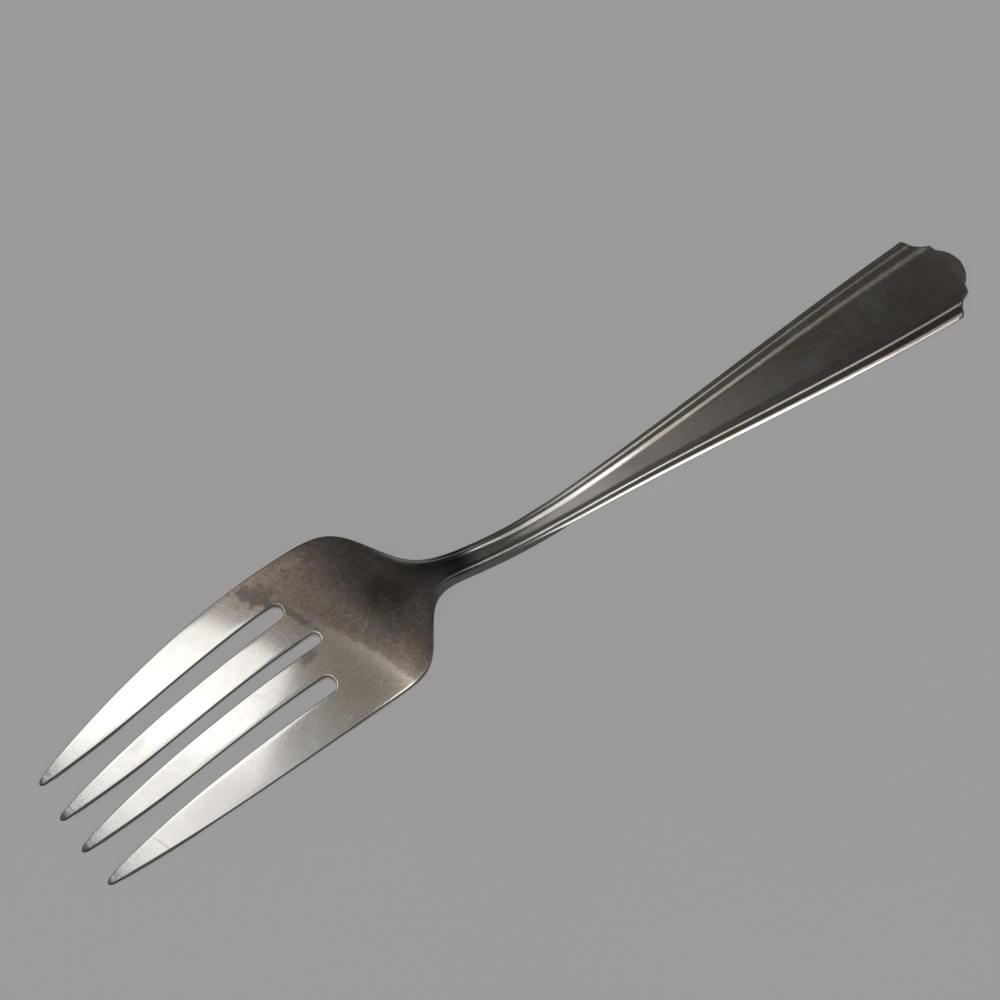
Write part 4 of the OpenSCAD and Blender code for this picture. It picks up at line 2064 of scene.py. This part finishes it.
def turn_outwards(bm: bmesh.types.BMesh) -> None:
    """Turn all faces of a bmesh outwards, also where it is open.

    Args:
        bm: The bmesh.
    """
    bmesh.ops.recalc_face_normals(bm, faces=bm.faces)
    if bm.calc_volume(signed=True) < 0:
        bmesh.ops.reverse_faces(bm, faces=bm.faces)


def set_in_frame(bm: bmesh.types.BMesh, shape: ForkShape) -> None:
    """Scale a skin from millimetres to metres and set its middle over the origin."""
    bmesh.ops.translate(bm, verts=bm.verts, vec=(-shape.length / 2, 0, 0))
    bmesh.ops.scale(bm, verts=bm.verts, vec=(METRES_PER_MM,) * 3)


@dataclass(frozen=True)
class Softbox:
    """A plain lamp with an even, oblong face, one side of which runs along the fork.

    Attributes:
        name: Name of the lamp.
        towards: Direction from the fork to the lamp.
        distance: Distance from the fork, in metres.
        width: Width of the face, in metres.
        height: Height of the face, in metres.
        brightness: Brightness of the face, where 1 is white.
        turn: Turn of the face about the line to the fork, in degrees.
        reflected: Whether polished metal shows the lamp.
        lights_floor: Whether the lamp lights the floor.
    """

    name: str
    towards: Triple
    distance: float
    width: float
    height: float
    brightness: float
    turn: float = 0.0
    reflected: bool = True
    lights_floor: bool = False

    def build(self) -> bpy.types.Object:
        """Add the lamp, turned to the fork.

        Returns:
            The lamp's object.
        """
        lamp = bpy.data.lights.new(self.name, "AREA")
        lamp.shape = "RECTANGLE"
        lamp.size = self.width
        lamp.size_y = self.height
        lamp.energy = self.brightness * math.pi * self.width * self.height
        obj = bpy.data.objects.new(self.name, lamp)
        back = Vector(self.towards).normalized()
        side = Vector((1, 0, 0))
        side = (side - back * side.dot(back)).normalized()
        axes = Matrix((side, back.cross(side), back)).transposed()
        spin = Matrix.Rotation(math.radians(self.turn), 3, "Z")
        obj.matrix_world = Matrix.Translation(back * self.distance) @ (axes @ spin).to_4x4()
        obj.visible_camera = False
        obj.visible_glossy = self.reflected
        obj.visible_diffuse = self.lights_floor
        bpy.context.collection.objects.link(obj)
        return obj


@dataclass(frozen=True)
class Room:
    """The dim room round the fork: a grey side, a dark side with a pale edge before it, and a light end.

    Attributes:
        across: Direction from the grey side to the dark side.
        sides: Place along that direction and brightness there.
        ends: Place along the fork's direction and light added there.
        edge: Where the edge between both sides begins and ends.
        streak: Place along that edge and light added to a narrow streak there.
        dark: Direction of each dark place, how far it reaches, and the share of the brightness in its middle.
        dark_core: Reach of the darkest middle of each dark place.
        low: Height over which the room grows as bright as it is above.
        low_share: Share of the brightness that is left low down.
        warm: Direction of a place in warm light.
        warm_reach: How far it reaches.
        warm_light: Light added in its middle.
    """

    across: Triple = (0.643, 0.766, 0.0)
    sides: Grades = (
        (-0.6, (0.24, 0.24, 0.235)),
        (0.27, (0.225, 0.213, 0.195)),
        (0.35, (0.14, 0.132, 0.124)),
        (0.43, (0.122, 0.117, 0.111)),
        (0.5, (0.088, 0.084, 0.08)),
        (0.58, (0.066, 0.063, 0.061)),
        (0.75, (0.062, 0.059, 0.057)),
        (0.86, (0.046, 0.044, 0.043)),
        (1.0, (0.04, 0.038, 0.037)),
    )
    ends: Grades = (
        (-1.0, (0.8, 0.8, 0.79)),
        (-0.6, (0.66, 0.66, 0.65)),
        (-0.4, (0.26, 0.26, 0.255)),
        (-0.3, (0.1, 0.1, 0.098)),
        (-0.1, BLACK),
    )
    edge: Band = ((0.18, 0.27), (0.35, 0.3))
    streak: Grades = (
        (-0.16, BLACK),
        (0.025, (0.14, 0.132, 0.12)),
        (0.165, (0.34, 0.32, 0.285)),
        (0.24, (0.56, 0.535, 0.5)),
        (0.4, (0.62, 0.6, 0.57)),
    )
    dark: tuple[tuple[Triple, float, float], ...] = (
        ((0.55, 0.3, 0.78), 0.36, 0.25),
        ((0.45, 0.1, 0.89), 0.27, 0.6),
    )
    dark_core: float = 0.04
    low: Span = (0.05, 0.5)
    low_share: float = 0.4
    warm: Triple = (0.0, 0.68, 0.73)
    warm_reach: float = 0.42
    warm_light: Colour = (0.24, 0.185, 0.15)

    def build(self) -> bpy.types.World:
        """Make the scene's world.

        Returns:
            The world.
        """
        world = bpy.data.worlds.new("room")
        world.use_nodes = True
        desk = NodeDesk(world.node_tree)
        world.node_tree.nodes.clear()
        towards = desk.add("ShaderNodeTexCoord").outputs["Generated"]
        sides = self.graded(desk, towards, self.across, self.sides)
        ends = self.graded(desk, towards, (1.0, 0.0, 0.0), self.ends)
        band = desk.band(desk.vector("DOT_PRODUCT", towards, self.across), *self.edge)
        along_edge = (self.across[1], -self.across[0], 0.0)
        streak = desk.blend(band, BLACK, self.graded(desk, towards, along_edge, self.streak))
        left: Source = 1.0
        for middle, reach, share in self.dark:
            far = desk.step(desk.vector("DISTANCE", towards, middle), self.dark_core, reach)
            left = desk.times(left, desk.total((share, 1 - share), far))
        high = desk.step(desk.parts(towards)[2], *self.low)
        left = desk.times(left, desk.total((self.low_share, 1 - self.low_share), high))
        near = desk.step(desk.vector("DISTANCE", towards, self.warm), self.warm_reach, 0.0)
        dimmed = desk.blend(left, BLACK, sides)
        warmed = desk.blend(near, BLACK, self.warm_light)
        total = desk.vector("ADD", desk.vector("ADD", dimmed, ends), desk.vector("ADD", warmed, streak))
        light = desk.add("ShaderNodeBackground", Color=total, Strength=1.0)
        desk.add("ShaderNodeOutputWorld", Surface=light.outputs[0])
        bpy.context.scene.world = world
        return world

    @staticmethod
    def graded(desk: NodeDesk, towards: Source, axis: Triple, stops: Grades) -> Socket:
        """Grade a brightness along an axis.

        Args:
            desk: The desk of the world's tree.
            towards: The direction that is looked at.
            axis: The axis.
            stops: Place along the axis, from -1 to 1, and brightness there.

        Returns:
            The brightness.
        """
        share = desk.math("MULTIPLY_ADD", desk.vector("DOT_PRODUCT", towards, axis), 0.5, 0.5)
        return desk.ramp(share, [((place + 1) / 2, tint) for place, tint in stops])


@dataclass
class Studio:
    """The floor, the lamps and the room round the fork.

    Attributes:
        floor_half: Half the side of the square floor, in metres.
        lamps: The lamps.
    """

    floor_half: float = 4.0
    lamps: tuple[Softbox, ...] = (
        Softbox("window", (-0.437, 0.437, 0.786), 1.5, 0.55, 0.88, 0.64, turn=21.0),
        Softbox("fill", (0.295, -0.557, 0.776), 1.5, 0.49, 1.69, 1.45, turn=2.0),
        Softbox("ceiling", (-0.25, -0.45, 0.86), 2.0, 3.0, 3.0, 1.7, reflected=False, lights_floor=True),
    )

    def floor(self) -> bpy.types.Object:
        """Build and dress the floor.

        Returns:
            Its object.
        """
        bm = bmesh.new()
        bmesh.ops.create_grid(bm, x_segments=1, y_segments=1, size=self.floor_half)
        return finished_piece("floor", bm, FloorFinish().build())

    def build(self) -> bpy.types.Object:
        """Build the room, the lamps and the floor.

        Returns:
            The floor.
        """
        Room().build()
        for lamp in self.lamps:
            LOG.info("lamp %s", lamp.build().name)
        return self.floor()


@dataclass(frozen=True)
class PhotoCamera:
    """Camera at the photograph's place.

    Attributes:
        azimuth: Turn about the vertical, in degrees.
        elevation: Height above the floor's plane, in degrees.
        roll: Turn about the line of sight, in degrees.
        target: Point on the line of sight, in millimetres.
        distance: Distance from that point, in millimetres.
        focal_share: Focal length as a share of the image's width.
        sensor: Width of the sensor, in millimetres.
        near: Distance where the view begins, in metres.
    """

    azimuth: float = -38.672
    elevation: float = 65.275
    roll: float = 3.568
    target: Triple = (-0.215, 8.012, 0.0)
    distance: float = 495.88
    focal_share: float = 3.4103
    sensor: float = 36.0
    near: float = 0.01

    def build(self) -> bpy.types.Object:
        """Add the camera and make it the scene's own.

        Returns:
            The camera's object.
        """
        turn, lift = math.radians(self.azimuth), math.radians(self.elevation)
        back = Vector((
            math.sin(turn) * math.cos(lift),
            -math.cos(turn) * math.cos(lift),
            math.sin(lift),
        ))
        right = Vector((math.cos(turn), math.sin(turn), 0))
        axes = Matrix((right, back.cross(right), back)).transposed()
        data = bpy.data.cameras.new("photo_camera")
        data.sensor_fit = "HORIZONTAL"
        data.sensor_width = self.sensor
        data.lens = self.focal_share * self.sensor
        data.clip_start = self.near
        obj = bpy.data.objects.new("photo_camera", data)
        place = (Vector(self.target) + back * self.distance) * METRES_PER_MM
        tilt = Matrix.Rotation(math.radians(self.roll), 3, "Z")
        obj.matrix_world = Matrix.Translation(place) @ (axes @ tilt).to_4x4()
        bpy.context.collection.objects.link(obj)
        bpy.context.scene.camera = obj
        return obj


def main() -> None:
    """Build the fork, its studio and its camera, and report each piece."""
    logging.basicConfig(level=logging.INFO, format="%(name)s: %(message)s")
    low, high = cad_box
    shape = ForkShape(length=(high[0] - low[0]) / METRES_PER_MM)
    plan = (
        (NickelBlank(shape), "nickel_silver", ("core_blank",)),
        (SilverCoat(shape), "silver", ("head_plate", "handle_plate")),
    )
    for part, slot, nodes in plan:
        piece = part.build()
        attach(piece, BODY)
        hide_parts(*nodes)
        LOG.info("piece %s: %d faces", piece.name, len(piece.data.polygons))
    Studio().build()
    LOG.info("camera %s", PhotoCamera().build().name)
    bpy.context.scene.view_settings.view_transform = "Standard"


if __name__ == "__main__":
    main()
